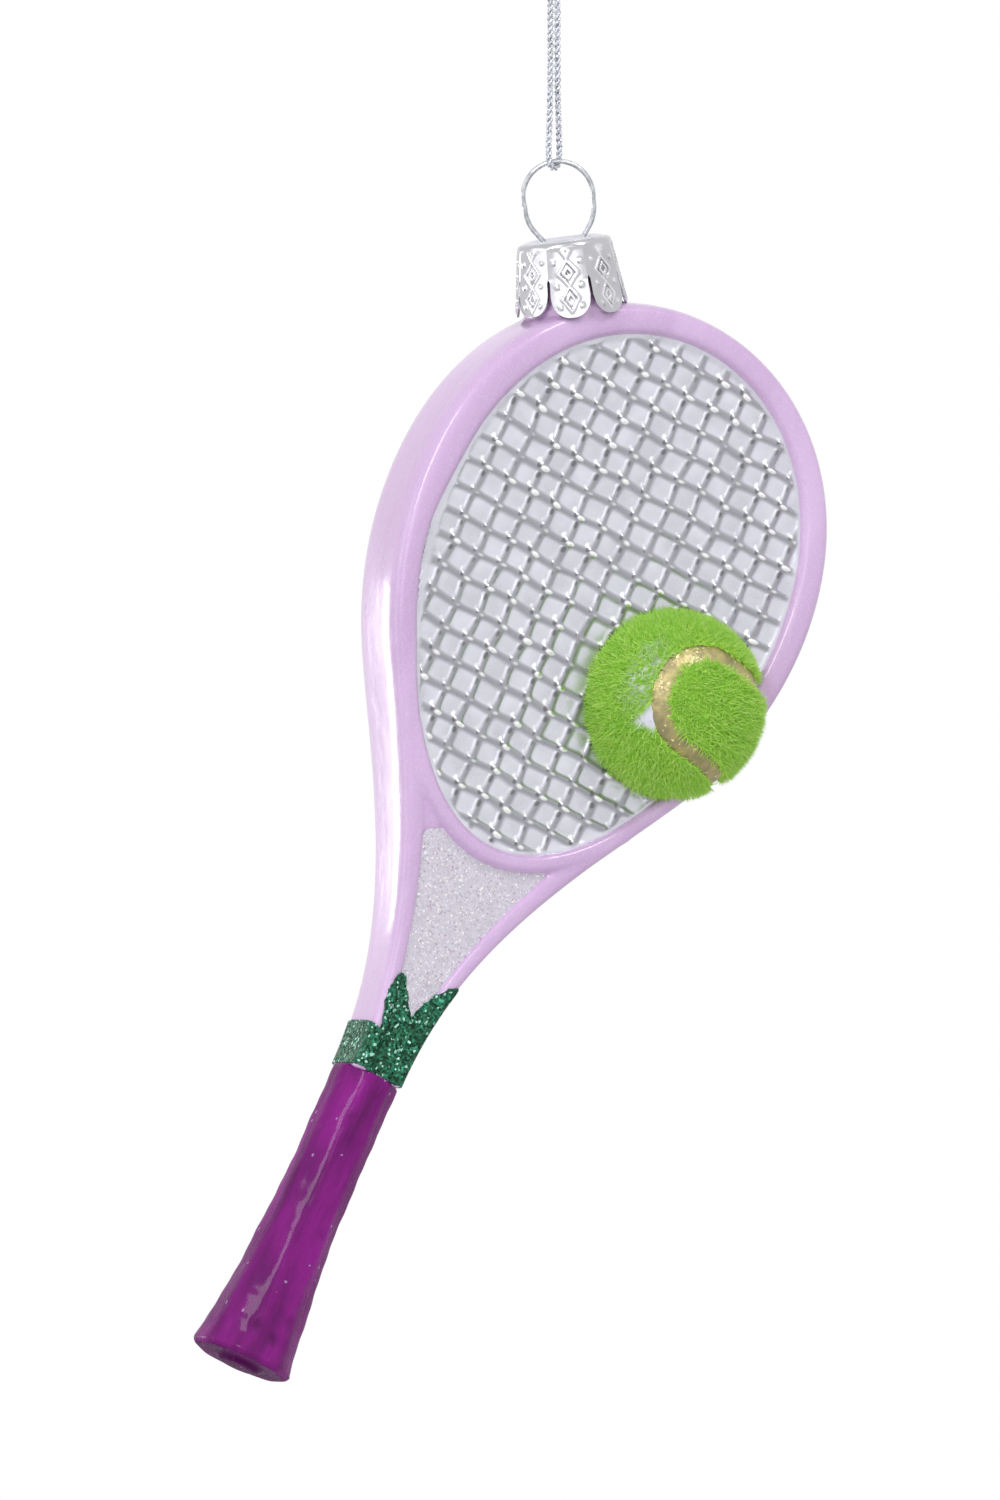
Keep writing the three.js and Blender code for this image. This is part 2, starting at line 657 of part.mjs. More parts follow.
function hangingCord() {
  const low = Math.min(...cordRoute.map((p) => p[2]));
  const points = cordRoute.map(([right, front, up]) => (
    v3(right, -front, up + (bightBottom - low) * clamp(-up / HANG_DROP, 0, 1))
  ));
  return tube(new THREE.CatmullRomCurve3(points, false, 'centripetal'), STRAND_RADIUS, CORD_STEPS);
}

function cordKnot() {
  const half = KNOT_HEIGHT / 2;
  const ball = new THREE.SphereGeometry(1, 10, 6).rotateX(Math.PI / 2);
  const lump = ball.scale(KNOT_RADIUS, KNOT_RADIUS * 0.8, half);
  const middle = KNOT_BASE + half;
  const parts = [solid(lump.translate(0, 0, middle))];
  for (const side of [-1, 1]) {
    const tail = new THREE.QuadraticBezierCurve3(
      v3(side * STRAND_RADIUS * 1.5, 0, middle),
      v3(side * KNOT_RADIUS * 0.8, 0, middle + TAIL_LENGTH * 0.5),
      v3(side * KNOT_RADIUS * 1.6, 0, middle + TAIL_LENGTH),
    );
    parts.push(solid(tube(tail, STRAND_RADIUS, TAIL_STEPS)));
  }
  return join(...parts);
}

// Placing the pieces

const ornament = new THREE.Group();

const cordGroup = new THREE.Group();
cordGroup.rotation.z = -rad(LOOP_TURN);
cordGroup.add(
  piece('hanging_cord', hangingCord(), { color: '#b9bcc2', roughness: 0.35, metalness: 0.8 }),
  piece('cord_knot', cordKnot(), { color: '#b9bcc2', roughness: 0.35, metalness: 0.8 }),
);

const hanger = new THREE.Group();
hanger.position.set(0, 0, -HANG_DROP);
hanger.rotation.set(0, -rad(NECK_LEAN), -rad(LOOP_TURN));
const capDrop = LOOP_RADIUS + LOOP_RISE;
const capGroup = new THREE.Group();
capGroup.position.z = -capDrop;
capGroup.add(
  piece('wire_loop', wireLoop(), { color: '#c4c6ca', roughness: 0.2, metalness: 1 }),
  piece('ornament_cap', ornamentCap(), { color: '#d6d7da', roughness: 0.15, metalness: 1 }),
);
hanger.add(capGroup);

const racket = new THREE.Group();
racket.rotation.set(Math.PI / 2, rad(RACKET_TILT), 0, 'YXZ');
const neckAxis = v3(-Math.sin(rad(NECK_LEAN)), 0, Math.cos(rad(NECK_LEAN)));
racket.position.set(0, 0, -HANG_DROP).addScaledVector(neckAxis, -capDrop - capToFoot);
racket.position.sub(v3(neckFoot.x, neckFoot.y, 0).applyEuler(racket.rotation));

const bandOuter = SEAM_RADIUS + SEAM_WIDTH / 2;
const bandInner = SEAM_RADIUS - SEAM_WIDTH / 2;
const flock = ballCoat(BALL_RADIUS);
const seamCoat = ballCoat(BALL_RADIUS - SEAM_SINK);
racket.add(
  piece('glass_shell', glassShell(), { color: '#d0cfda', roughness: 0.2, metalness: 0.9 }),
  piece('frame_lacquer', frameLacquer(), { color: '#dcb6e4', roughness: 0.25, metalness: 0 }),
  piece('throat_glitter_front', throatGlitter(1), { color: '#dedae6', roughness: 0.5, metalness: 0.3 }),
  piece('throat_glitter_back', throatGlitter(-1), { color: '#dedae6', roughness: 0.5, metalness: 0.3 }),
  piece('leaf_collar', leafCollar(), { color: '#2c6b4c', roughness: 0.5, metalness: 0.2 }),
  piece('grip_lacquer', gripLacquer(), { color: '#8c1987', roughness: 0.15, metalness: 0.1 }),
  piece('ball_flock', flock.subtract(seamBay(bandOuter + GAP)),
    { color: '#7db932', roughness: 1, metalness: 0 }),
  piece('ball_flock_lobe', flock.intersect(seamBay(bandInner - GAP)),
    { color: '#7db932', roughness: 1, metalness: 0 }),
  piece('ball_seam', seamCoat.intersect(seamBay(bandOuter)).subtract(seamBay(bandInner)),
    { color: '#a59155', roughness: 0.4, metalness: 0.7 }),
);

ornament.add(cordGroup, hanger, racket);

export default ornament;
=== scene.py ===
"""Builds a blown-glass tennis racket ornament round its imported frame, with its cap, wire loop and cord."""

import json
import math

import bmesh
import bpy
import numpy as np
from mathutils import Matrix, Vector


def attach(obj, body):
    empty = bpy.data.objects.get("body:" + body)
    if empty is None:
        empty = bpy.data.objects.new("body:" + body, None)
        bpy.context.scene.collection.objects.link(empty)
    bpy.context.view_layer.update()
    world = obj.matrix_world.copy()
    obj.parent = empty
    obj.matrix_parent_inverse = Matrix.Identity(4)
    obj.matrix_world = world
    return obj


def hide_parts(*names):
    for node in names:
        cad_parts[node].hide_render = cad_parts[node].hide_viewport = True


bl_info = {
    "name": "Tennis Racket Ornament",
    "version": (1, 0, 0),
    "blender": (4, 5, 0),
    "location": "View3D > Sidebar > Ornament",
    "description": "Makes the racket, ball, cap, wire loop and cord of a hanging glass ornament",
    "category": "Object",
}

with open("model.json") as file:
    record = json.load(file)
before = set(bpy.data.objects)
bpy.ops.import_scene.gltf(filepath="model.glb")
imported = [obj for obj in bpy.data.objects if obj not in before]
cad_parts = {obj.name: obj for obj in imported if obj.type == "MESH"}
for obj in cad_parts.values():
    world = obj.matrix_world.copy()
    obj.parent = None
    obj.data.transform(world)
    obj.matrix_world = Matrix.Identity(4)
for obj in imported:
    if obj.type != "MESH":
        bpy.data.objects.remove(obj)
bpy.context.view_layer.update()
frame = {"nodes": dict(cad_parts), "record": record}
SLOT_COLOURS = {m["slot"]: tuple(m["base_color"][:3]) for m in frame["record"]["materials"]}

# Sizes are in millimetres and degrees, in the racket's own frame: x across, y up the racket, z out of its face
MM = 0.001
RACKET_TILT = 26
RACKET_PLACE = (3.877, 0, -73.293)
NECK_LEAN = 7.7
LOOP_TURN = 24.4
HANG_DROP = 26.56
CAP_DROP = 8.83

HEAD = {"width": 24.75, "height": 31.2, "skew": 0.11, "shift": 0, "drop": 0}
BED = {"width": 21.2, "height": 30.2, "skew": 0.15, "shift": 0.4, "drop": 1.9}
HALF_HEAD = 5.25
HALF_SHAFT = 3.6
RIM_FACE = 2.7
RIM_FACE_EXTRA = 1.2
RIM_GROWTH = (-8, 6)
SHAFT_FACE = 1.9
WALL_BULGE = 0.65
BRIDGE_WIDTH = 2.4
BRIDGE_REACH = 45
BRIDGE_SINK = 0.15
THROAT_ANGLE = 126
THROAT_REACH = 16.6
SHAFT_END = (3.1, -61.25)
COLLAR_TOP = 56.1
WEB_SINK = 0.6
COAT = 0.35
STRING_TOP = 4.4
STRING_SHIFT = (0.5, -0.8)
GRIP_TOP = 61.4
GRIP_EDGE = 0.35 - GRIP_TOP
GRIP_END = 96.3
BALL_MIDDLE = (13.5, -8.6, 4.0)
NECK_ANGLE = 32.6
NECK_RADIUS = 4.65


def turn(axis, degrees):
    return Matrix.Rotation(math.radians(degrees), 4, axis)


RACKET = Matrix.Translation(RACKET_PLACE) @ turn("Y", RACKET_TILT) @ turn("X", 90)
HANGER = Matrix.Translation((0, 0, -HANG_DROP)) @ turn("Y", -NECK_LEAN) @ turn("Z", -LOOP_TURN)
CAP = HANGER @ Matrix.Translation((0, 0, -CAP_DROP))
CORD = turn("Z", -LOOP_TURN)


# Numbers and outlines


def smoothstep(x, low, high):
    share = np.clip((x - low) / (high - low), 0, 1)
    return share * share * (3 - 2 * share)


def unit(vectors):
    return vectors / np.linalg.norm(vectors, axis=-1, keepdims=True)


def round_angles(steps):
    return 2 * math.pi * np.arange(steps) / steps


def egg(shape, angle, offset=0.0):
    """Points of an egg-shaped outline, moved outwards by the offset; the angle runs clockwise from its top."""
    s, c = np.sin(angle), np.cos(angle)
    x = shape["width"] * s * (1 + shape["skew"] * c) + shape["shift"]
    y = shape["height"] * c - shape["drop"]
    across = shape["width"] * (c + shape["skew"] * np.cos(2 * angle))
    return np.stack([x, y], -1) + unit(np.stack([shape["height"] * s, across], -1)) * offset


def egg_outline(shape, offset, steps=160):
    return egg(shape, -round_angles(steps), offset)


def throat_points(steps):
    """The right side's middle line from the head to the end of the shaft."""
    angle, step = math.radians(THROAT_ANGLE), math.radians(1)
    start, end = egg(HEAD, np.array(angle)), np.array(SHAFT_END)
    heading = unit(egg(HEAD, np.array(angle + step)) - egg(HEAD, np.array(angle - step)))
    first, second = start + heading * THROAT_REACH, end + [0, THROAT_REACH]
    t = np.linspace(0, 1, steps + 1)[:, None]
    return (1 - t) ** 3 * start + 3 * (1 - t) ** 2 * t * first + 3 * (1 - t) * t * t * second + t**3 * end


THROAT_TOP = throat_points(1)[0, 1]
BED_RIM = egg_outline(BED, 0, 720)


def throat_share(y):
    """How far down the throat a height lies, from 0 on the head to 1 at the collar."""
    return smoothstep(-np.asarray(y, float), -THROAT_TOP, COLLAR_TOP)


def half_thickness(y):
    return HALF_HEAD + (HALF_SHAFT - HALF_HEAD) * throat_share(y)


def rim_distance(points, block=2000):
    """Distance of each flat point from the bed's outline, less than zero inside it."""
    found = np.empty(len(points))
    for low in range(0, len(points), block):
        gaps = points[low : low + block, None, :] - BED_RIM[None]
        found[low : low + block] = np.sqrt((gaps**2).sum(-1).min(1))
    x, y = points[:, 0] - BED["shift"], points[:, 1] + BED["drop"]
    c = np.clip(y / BED["height"], -1, 1)
    reach = BED["width"] * np.sqrt(1 - c * c) * (1 + BED["skew"] * c)
    return np.where((np.abs(x) < reach) & (np.abs(y) < BED["height"]), -found, found)


def face_width(points):
    """Width of the frame's face, which fills the space beside the bed, up to more on the upper head."""
    widest = RIM_FACE + RIM_FACE_EXTRA * smoothstep(points[:, 1], *RIM_GROWTH)
    space = np.minimum(np.abs(rim_distance(points)), widest)
    return space + (SHAFT_FACE - space) * throat_share(points[:, 1])


def rectangle(left, right, low, high):
    return [(left, low), (right, low), (right, high), (left, high)]


def neck_place():
    """The neck's own frame, with z up the neck from its foot on the head."""
    foot = egg(HEAD, np.array(-math.radians(NECK_ANGLE)), WALL_BULGE)
    lean = NECK_LEAN + RACKET_TILT
    return RACKET @ Matrix.Translation((foot[0], foot[1], 0)) @ turn("Z", lean) @ turn("X", -90)


def between(knots, low, high, start, end, t):
    """The point at t on the line that leaves start at one knot and reaches end at another."""
    return ((knots[high] - t) * start + (t - knots[low]) * end) / (knots[high] - knots[low])


def curve_through(points, per_span):
    """Points on a centripetal curve through the given ones."""
    p = np.asarray(points, float)
    p = np.vstack([2 * p[0] - p[1], p, 2 * p[-1] - p[-2]])
    found = []
    for a, b, c, d in zip(p[:-3], p[1:-2], p[2:-1], p[3:]):
        knots = np.cumsum([0, *[max(np.linalg.norm(v) ** 0.5, 1e-6) for v in (b - a, c - b, d - c)]])
        for t in np.linspace(knots[1], knots[2], per_span, endpoint=False):
            first = [between(knots, i, i + 1, *ends, t) for i, ends in enumerate(((a, b), (b, c), (c, d)))]
            second = [between(knots, i, i + 2, first[i], first[i + 1], t) for i in range(2)]
            found.append(between(knots, 1, 2, *second, t))
    return np.array([*found, p[-2]])


# Meshes


def to_world(points, place):
    """Points in a frame drawn in millimetres as world points in metres."""
    return (np.asarray(points, float) @ np.array(place.to_3x3()).T + np.array(place.translation)) * MM


def make_object(name, points, faces, place=RACKET, edges=()):
    mesh = bpy.data.meshes.new(name)
    mesh.from_pydata(to_world(points, place).tolist(), edges, faces)
    mesh.update()
    piece = bpy.data.objects.new(name, mesh)
    bpy.context.scene.collection.objects.link(piece)
    return piece


def local_points(piece):
    """The piece's vertices back in the racket's own frame."""
    flat = np.empty(len(piece.data.vertices) * 3, np.float32)
    piece.data.vertices.foreach_get("co", flat)
    back = np.array(RACKET.inverted())
    return (flat.reshape(-1, 3) / MM) @ back[:3, :3].T + back[:3, 3]


def edit_mesh(piece, *changes):
    """Makes each change to the piece's mesh, opened for editing."""
    shape = bmesh.new()
    shape.from_mesh(piece.data)
    for change in changes:
        change(shape)
    shape.to_mesh(piece.data)
    shape.free()
    return piece


def weld(shape, distance=1e-6):
    bmesh.ops.remove_doubles(shape, verts=shape.verts, dist=distance)


def face_out(shape):
    bmesh.ops.recalc_face_normals(shape, faces=shape.faces)


def keep_largest(shape):
    """Drops the slivers that a cut leaves beside the largest shell."""
    left, shells = set(shape.verts), []
    while left:
        shell, border = [], [left.pop()]
        while border:
            vertex = border.pop()
            shell.append(vertex)
            near = {link.other_vert(vertex) for link in vertex.link_edges} & left
            left -= near
            border += near
        shells.append(shell)
    shells.sort(key=len)
    bmesh.ops.delete(shape, geom=[v for shell in shells[:-1] for v in shell], context="VERTS")


def grid_faces(rows, columns, is_round=True):
    """Quads between neighbouring rings of points, each ring closed where is_round."""
    last = columns if is_round else columns - 1
    i, j = np.meshgrid(np.arange(rows - 1), np.arange(last), indexing="ij")
    k = (j + 1) % columns
    quads = np.stack([i * columns + j, (i + 1) * columns + j, (i + 1) * columns + k, i * columns + k], -1)
    return quads.reshape(-1, 4).tolist()


def loft(name, rings, place=RACKET, is_closed=False):
    """A skin over rings of points with flat ends, or one that runs round to its start."""
    rows, columns = len(rings), len(rings[0])
    faces = grid_faces(rows, columns)
    last = (rows - 1) * columns
    if is_closed:
        faces += [[last + j, j, (j + 1) % columns, last + (j + 1) % columns] for j in range(columns)]
    else:
        faces += [list(range(columns)), list(range(last, rows * columns))]
    return edit_mesh(make_object(name, np.concatenate(rings), faces, place), weld, face_out)


def prism(outline, low, high, place=RACKET):
    outline = np.asarray(outline, float)
    return loft("tool", [np.column_stack([outline, np.full(len(outline), z)]) for z in (low, high)], place)


def turned(name, profile, place, steps=64, is_closed=False):
    """A solid of revolution about z through points (radius, height), flat at its ends or closed in a ring."""
    angles = round_angles(steps)
    rings = [np.stack([r * np.cos(angles), r * np.sin(angles), np.full(steps, h)], -1) for r, h in profile]
    return loft(name, rings, place, is_closed)


def bake(piece):
    view = bpy.context.evaluated_depsgraph_get()
    view.update()
    mesh = bpy.data.meshes.new_from_object(piece.evaluated_get(view))
    old = piece.data
    piece.modifiers.clear()
    piece.data = mesh
    bpy.data.meshes.remove(old)
    return piece


def combine(piece, tool, operation="DIFFERENCE"):
    step = piece.modifiers.new("combine", "BOOLEAN")
    step.operation, step.solver, step.object = operation, "MANIFOLD", tool
    bake(piece)
    bpy.data.objects.remove(tool)
    return piece


def soften(piece, voxel, rounds):
    remesh = piece.modifiers.new("remesh", "REMESH")
    remesh.mode, remesh.voxel_size = "VOXEL", voxel * MM
    smooth = piece.modifiers.new("smooth", "SMOOTH")
    smooth.factor, smooth.iterations = 0.5, rounds
    return bake(piece)


def paint(piece, **layers):
    """Stores each named array as an attribute of the piece's points."""
    for name, values in layers.items():
        layer = piece.data.attributes.new(name, "FLOAT", "POINT")
        layer.data.foreach_set("value", np.asarray(values, np.float32))


# Edges sharper than these degrees stay sharp
CREASE = 40
CUT_CREASE = 50
ROUND_CREASE = 60


def finish_piece(piece, body, nodes, material, crease=CREASE):
    piece.data.name = piece.name
    piece.data.materials.clear()
    piece.data.materials.append(material)
    piece.data.shade_smooth()
    piece.data.set_sharp_from_angle(angle=math.radians(crease))
    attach(piece, body)
    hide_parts(*nodes)
    return piece


# Node trees

SOCKET_KINDS = {
    float: "NodeSocketFloat", int: "NodeSocketInt", tuple: "NodeSocketVector", type(None): "NodeSocketGeometry",
}


def put(tree, sockets, values):
    """Gives each named socket its value, or links it to the socket that feeds it."""
    for key, value in values.items():
        if isinstance(value, bpy.types.NodeSocket):
            tree.links.new(value, sockets[key])
        else:
            sockets[key].default_value = value


def add(tree, kind, inputs=None, **settings):
    """A node with its settings, and its inputs given as values or as the sockets that feed them."""
    node = tree.nodes.new(kind)
    for key, value in settings.items():
        setattr(node, key, value)
    put(tree, node.inputs, inputs or {})
    return node


def maths(tree, operation, a, b=0.0, c=0.0):
    return add(tree, "ShaderNodeMath", {0: a, 1: b, 2: c}, operation=operation).outputs[0]


def vector_maths(tree, operation, a, b=(0.0, 0.0, 0.0)):
    inputs = {0: a, "Scale" if operation == "SCALE" else 1: b}
    return add(tree, "ShaderNodeVectorMath", inputs, operation=operation).outputs[0]


def mix(tree, share, a, b):
    return add(tree, "ShaderNodeMix", {"Factor": share, 6: a, 7: b}, data_type="RGBA").outputs[2]


def remap(tree, value, low, high, to_low=0.0, to_high=1.0):
    inputs = {"Value": value, "From Min": low, "From Max": high, "To Min": to_low, "To Max": to_high}
    return add(tree, "ShaderNodeMapRange", inputs).outputs["Result"]


def attribute(tree, name):
    return add(tree, "ShaderNodeAttribute", attribute_name=name).outputs["Fac"]


def object_place(tree):
    return add(tree, "ShaderNodeTexCoord").outputs["Object"]


def noise(tree, scale, detail=2.0, where=None):
    if where is None:
        where = object_place(tree)
    inputs = {"Vector": where, "Scale": scale, "Detail": detail}
    return add(tree, "ShaderNodeTexNoise", inputs).outputs["Fac"]


def bump(tree, height, strength, distance):
    inputs = {"Height": height, "Strength": strength, "Distance": distance}
    return add(tree, "ShaderNodeBump", inputs).outputs[0]


def group_tree(name, kind, inputs, outputs):
    """An empty node group, whose sockets take their kind from their defaults; None stands for geometry."""
    tree = bpy.data.node_groups.new(name, kind)
    for direction, sockets in (("INPUT", inputs), ("OUTPUT", outputs)):
        for key, default in sockets.items():
            socket_type = SOCKET_KINDS[type(default)]
            socket = tree.interface.new_socket(key, in_out=direction, socket_type=socket_type)
            if default is not None:
                socket.default_value = default
    return tree, tree.nodes.new("NodeGroupInput").outputs, tree.nodes.new("NodeGroupOutput").inputs


def end_geometry(tree, made, geometry, material):
    """Ends a geometry group with its instances made real and its material set."""
    real = add(tree, "GeometryNodeRealizeInstances", {"Geometry": geometry}).outputs[0]
    dressed = add(tree, "GeometryNodeSetMaterial", {"Geometry": real, "Material": material}).outputs[0]
    put(tree, made, {"Geometry": dressed})
    return tree


def apply_tree(piece, tree, values):
    step = piece.modifiers.new(tree.name, "NODES")
    step.node_group = tree
    for item in tree.interface.items_tree:
        if item.item_type == "SOCKET" and item.in_out == "INPUT" and item.name in values:
            step[item.identifier] = values[item.name]
    return bake(piece)


def linear(colour, level=1.0):
    """A screen colour as the linear one that a shader takes."""
    parts = [c / 12.92 if c <= 0.04045 else ((c + 0.055) / 1.055) ** 2.4 for c in colour]
    return (*[min(1.0, p * level) for p in parts], 1.0)


def tones(tree, share, colour, low, high):
    """A mix of the darker and the lighter tone of one colour."""
    return mix(tree, share, linear(colour, low), linear(colour, high))


def feed(tree, shader, **values):
    """Sets the shader's inputs, named with underscores, to values or to the sockets that feed them."""
    put(tree, shader.inputs, {k.replace("_", " ").title().replace("Ior", "IOR"): v for k, v in values.items()})


def new_material(name, **values):
    material = bpy.data.materials.new(name)
    material.use_nodes = True
    tree = material.node_tree
    shader = tree.nodes["Principled BSDF"]
    feed(tree, shader, **values)
    return material, tree, shader


def flake_group():
    """Flakes of glitter: each cell has its own chance, its own lean and its own tint."""
    tree, given, made = group_tree(
        "Glitter Flakes", "ShaderNodeTree", {"Scale": 4000.0, "Lean": 0.6, "Share": 0.1},
        {"Flash": 0.0, "Tint": 0.0, "Shade": 0.0, "Normal": (0.0, 0.0, 0.0)},
    )
    cell = add(tree, "ShaderNodeTexVoronoi", {"Vector": object_place(tree), "Scale": given["Scale"]})
    red, green, blue = add(tree, "ShaderNodeSeparateColor", {"Color": cell.outputs["Color"]}).outputs
    edge = maths(tree, "SUBTRACT", 1.0, given["Share"])
    lean = vector_maths(tree, "SUBTRACT", cell.outputs["Color"], (0.5, 0.5, 0.5))
    lean = vector_maths(tree, "SCALE", lean, given["Lean"])
    normal = vector_maths(tree, "ADD", lean, add(tree, "ShaderNodeNewGeometry").outputs["Normal"])
    put(tree, made, {
        "Flash": maths(tree, "GREATER_THAN", red, edge), "Tint": green, "Shade": blue,
        "Normal": vector_maths(tree, "NORMALIZE", normal),
    })
    return tree


def flow_group():
    """Brushed-on paint: slow drifts of thickness and a fine orange peel."""
    tree, given, made = group_tree(
        "Paint Flow", "ShaderNodeTree",
        {"Drift Scale": 120.0, "Peel Scale": 900.0, "Peel": 0.2, "Stretch": (1.0, 1.0, 1.0)},
        {"Drift": 0.0, "Peel": 0.0, "Normal": (0.0, 0.0, 0.0)},
    )
    inputs = {"Vector": object_place(tree), "Rotation": (0, -math.radians(RACKET_TILT), 0)}
    lean = add(tree, "ShaderNodeMapping", inputs).outputs[0]
    where = vector_maths(tree, "MULTIPLY", lean, given["Stretch"])
    drift = noise(tree, given["Drift Scale"], 3.0, where)
    peel = noise(tree, given["Peel Scale"], 2.0, where)
    both = maths(tree, "MULTIPLY_ADD", drift, 2.0, peel)
    put(tree, made, {
        "Drift": remap(tree, drift, 0.3, 0.7), "Peel": peel,
        "Normal": bump(tree, both, given["Peel"], 0.0002),
    })
    return tree


def place_group(tree, name, inputs):
    """The outputs of a shared group, which is made when it is first needed."""
    group = bpy.data.node_groups.get(name) or {"Glitter Flakes": flake_group, "Paint Flow": flow_group}[name]()
    return add(tree, "ShaderNodeGroup", inputs, node_tree=group).outputs


def glitter(tree, scale, lean, share):
    return place_group(tree, "Glitter Flakes", {"Scale": scale, "Lean": lean, "Share": share})


# Finishes


def cord_finish(colour):
    material, tree, shader = new_material("Silver Cord", metallic=0.35)
    fine, slow = noise(tree, 6000.0), noise(tree, 700.0)
    tone = tones(tree, remap(tree, fine, 0.4, 0.52), colour, 0.35, 1.75)
    tone = mix(tree, remap(tree, slow, 0.45, 0.75, 0.0, 0.35), tone, linear((0.93, 0.93, 0.96)))
    feed(tree, shader, base_color=tone, roughness=remap(tree, slow, 0.3, 0.7, 0.3, 0.5))
    feed(tree, shader, normal=bump(tree, fine, 0.5, 0.00005))
    return material


def wire_finish(colour):
    material, tree, shader = new_material("Drawn Wire", metallic=1.0)
    drawn = noise(tree, 1800.0, 3.0)
    tone = tones(tree, remap(tree, drawn, 0.35, 0.65), colour, 0.7, 1.1)
    feed(tree, shader, base_color=tone, roughness=remap(tree, drawn, 0.3, 0.7, 0.16, 0.3))
    return material


def cap_finish(colour):
    material, tree, shader = new_material("Stamped Cap", metallic=1.0)
    rolled = noise(tree, 500.0, 4.0)
    # Painted highlight and painted shade: the stamped ridges lighter and the flat sheet darker
    tone = tones(tree, attribute(tree, "relief"), colour, 0.8, 1.25)
    tone = mix(tree, remap(tree, rolled, 0.4, 0.7, 0.0, 0.3), tone, linear(colour, 0.6))
    # Painted shade: the grooves beside the ridges and dots darkened nearly to black, broken up by the rolled
    # noise
    groove_shade = maths(tree, "MULTIPLY", attribute(tree, "groove"), remap(tree, rolled, 0.42, 0.58))
    tone = mix(tree, groove_shade, tone, linear(colour, 0.06))
    feed(tree, shader, base_color=tone, roughness=remap(tree, rolled, 0.3, 0.7, 0.12, 0.26))
    feed(tree, shader, normal=bump(tree, rolled, 0.15, 0.0002))
    return material


def glass_finish(colour):
    material, tree, shader = new_material("Silvered Glass", coat_weight=1.0, coat_roughness=0.1)
    cloud = noise(tree, 260.0, 3.0)
    tone = tones(tree, remap(tree, cloud, 0.35, 0.65), colour, 1.0, 1.2)
    # Painted shade: the raised strings are painted a darker grey than the cells between them
    tone = mix(tree, attribute(tree, "string"), tone, linear(colour, 0.56))
    # Painted shadows: dark flecks beside each crossing of the strings
    shade = remap(tree, attribute(tree, "shade"), 0.2, 0.55, 0.0, 0.85)
    tone = mix(tree, shade, tone, linear(colour, 0.16))
    # Painted highlights: white glints on the knots and the cells' corners, made fully metallic
    bright = remap(tree, attribute(tree, "glint"), 0.3, 0.6)
    tone = mix(tree, bright, tone, linear((1.0, 1.0, 1.0)))
    feed(tree, shader, base_color=tone, roughness=remap(tree, cloud, 0.3, 0.7, 0.24, 0.36))
    feed(tree, shader, metallic=remap(tree, bright, 0.0, 1.0, 0.5, 1.0))
    feed(tree, shader, normal=bump(tree, noise(tree, 1500.0), 0.2, 0.0001))
    return material


def lacquer_finish(colour):
    material, tree, shader = new_material("Pearl Lacquer", metallic=0.0, coat_weight=0.8, coat_roughness=0.12)
    flow = place_group(tree, "Paint Flow", {"Stretch": (1.0, 1.0, 0.12), "Peel": 0.4})
    tone = mix(tree, flow["Drift"], linear(colour, 0.86), linear((0.885, 0.755, 0.925)))
    fleck = maths(tree, "MULTIPLY", glitter(tree, 9000.0, 0.1, 0.2)["Flash"], 0.18)
    tone = mix(tree, fleck, tone, linear((0.97, 0.9, 1.0)))
    rough = remap(tree, flow["Peel"], 0.3, 0.7, 0.26, 0.4)
    feed(tree, shader, base_color=tone, roughness=rough, normal=flow["Normal"])
    return material


def pale_glitter_finish(colour):
    material, tree, shader = new_material("Pale Glitter", roughness=0.4)
    flakes = glitter(tree, 5600.0, 0.35, 0.05)
    tone = tones(tree, flakes["Shade"], colour, 0.88, 1.0)
    pink = maths(tree, "MULTIPLY", maths(tree, "GREATER_THAN", flakes["Tint"], 0.95), 0.6)
    tone = mix(tree, pink, tone, linear((0.70, 0.55, 0.68)))
    tone = mix(tree, flakes["Flash"], tone, linear((1.0, 1.0, 1.0)))
    shine = remap(tree, flakes["Shade"], 0.0, 1.0, 0.0, 0.3)
    feed(tree, shader, base_color=tone, metallic=shine, normal=flakes["Normal"])
    return material


def green_glitter_finish(colour):
    material, tree, shader = new_material("Green Glitter", metallic=0.35, specular_ior_level=0.25)
    flakes = glitter(tree, 3900.0, 0.9, 0.07)
    tone = tones(tree, flakes["Shade"], colour, 0.28, 1.25)
    teal = maths(tree, "MULTIPLY", maths(tree, "GREATER_THAN", flakes["Tint"], 0.8), 0.7)
    tone = mix(tree, teal, tone, linear((0.22, 0.62, 0.5)))
    tone = mix(tree, flakes["Flash"], tone, linear((0.72, 0.95, 0.88)))
    rough = remap(tree, flakes["Shade"], 0.0, 1.0, 0.2, 0.4)
    feed(tree, shader, base_color=tone, roughness=rough, normal=flakes["Normal"])
    return material


def grip_finish(colour):
    material, tree, shader = new_material(
        "Grip Lacquer", metallic=0.0, specular_ior_level=0.05, coat_roughness=0.09,
    )
    flow = place_group(tree, "Paint Flow", {
        "Stretch": (1.0, 1.0, 0.2), "Drift Scale": 330.0, "Peel Scale": 3200.0, "Peel": 1.0,
    })
    tone = tones(tree, flow["Drift"], colour, 0.42, 1.15)
    # Painted shade: darker in the dents and under the butt
    tone = mix(tree, attribute(tree, "pool"), tone, linear(colour, 0.3))
    flecks = maths(tree, "MULTIPLY", glitter(tree, 3600.0, 0.6, 0.004)["Flash"], 0.8)
    tone = mix(tree, flecks, tone, linear((0.7, 0.62, 0.78)))
    rough = remap(tree, flow["Peel"], 0.3, 0.7, 0.3, 0.5)
    feed(tree, shader, base_color=tone, roughness=rough, normal=flow["Normal"])
    feed(tree, shader, coat_weight=remap(tree, attribute(tree, "under"), 0.0, 1.0, 0.25, 0.02))
    return material


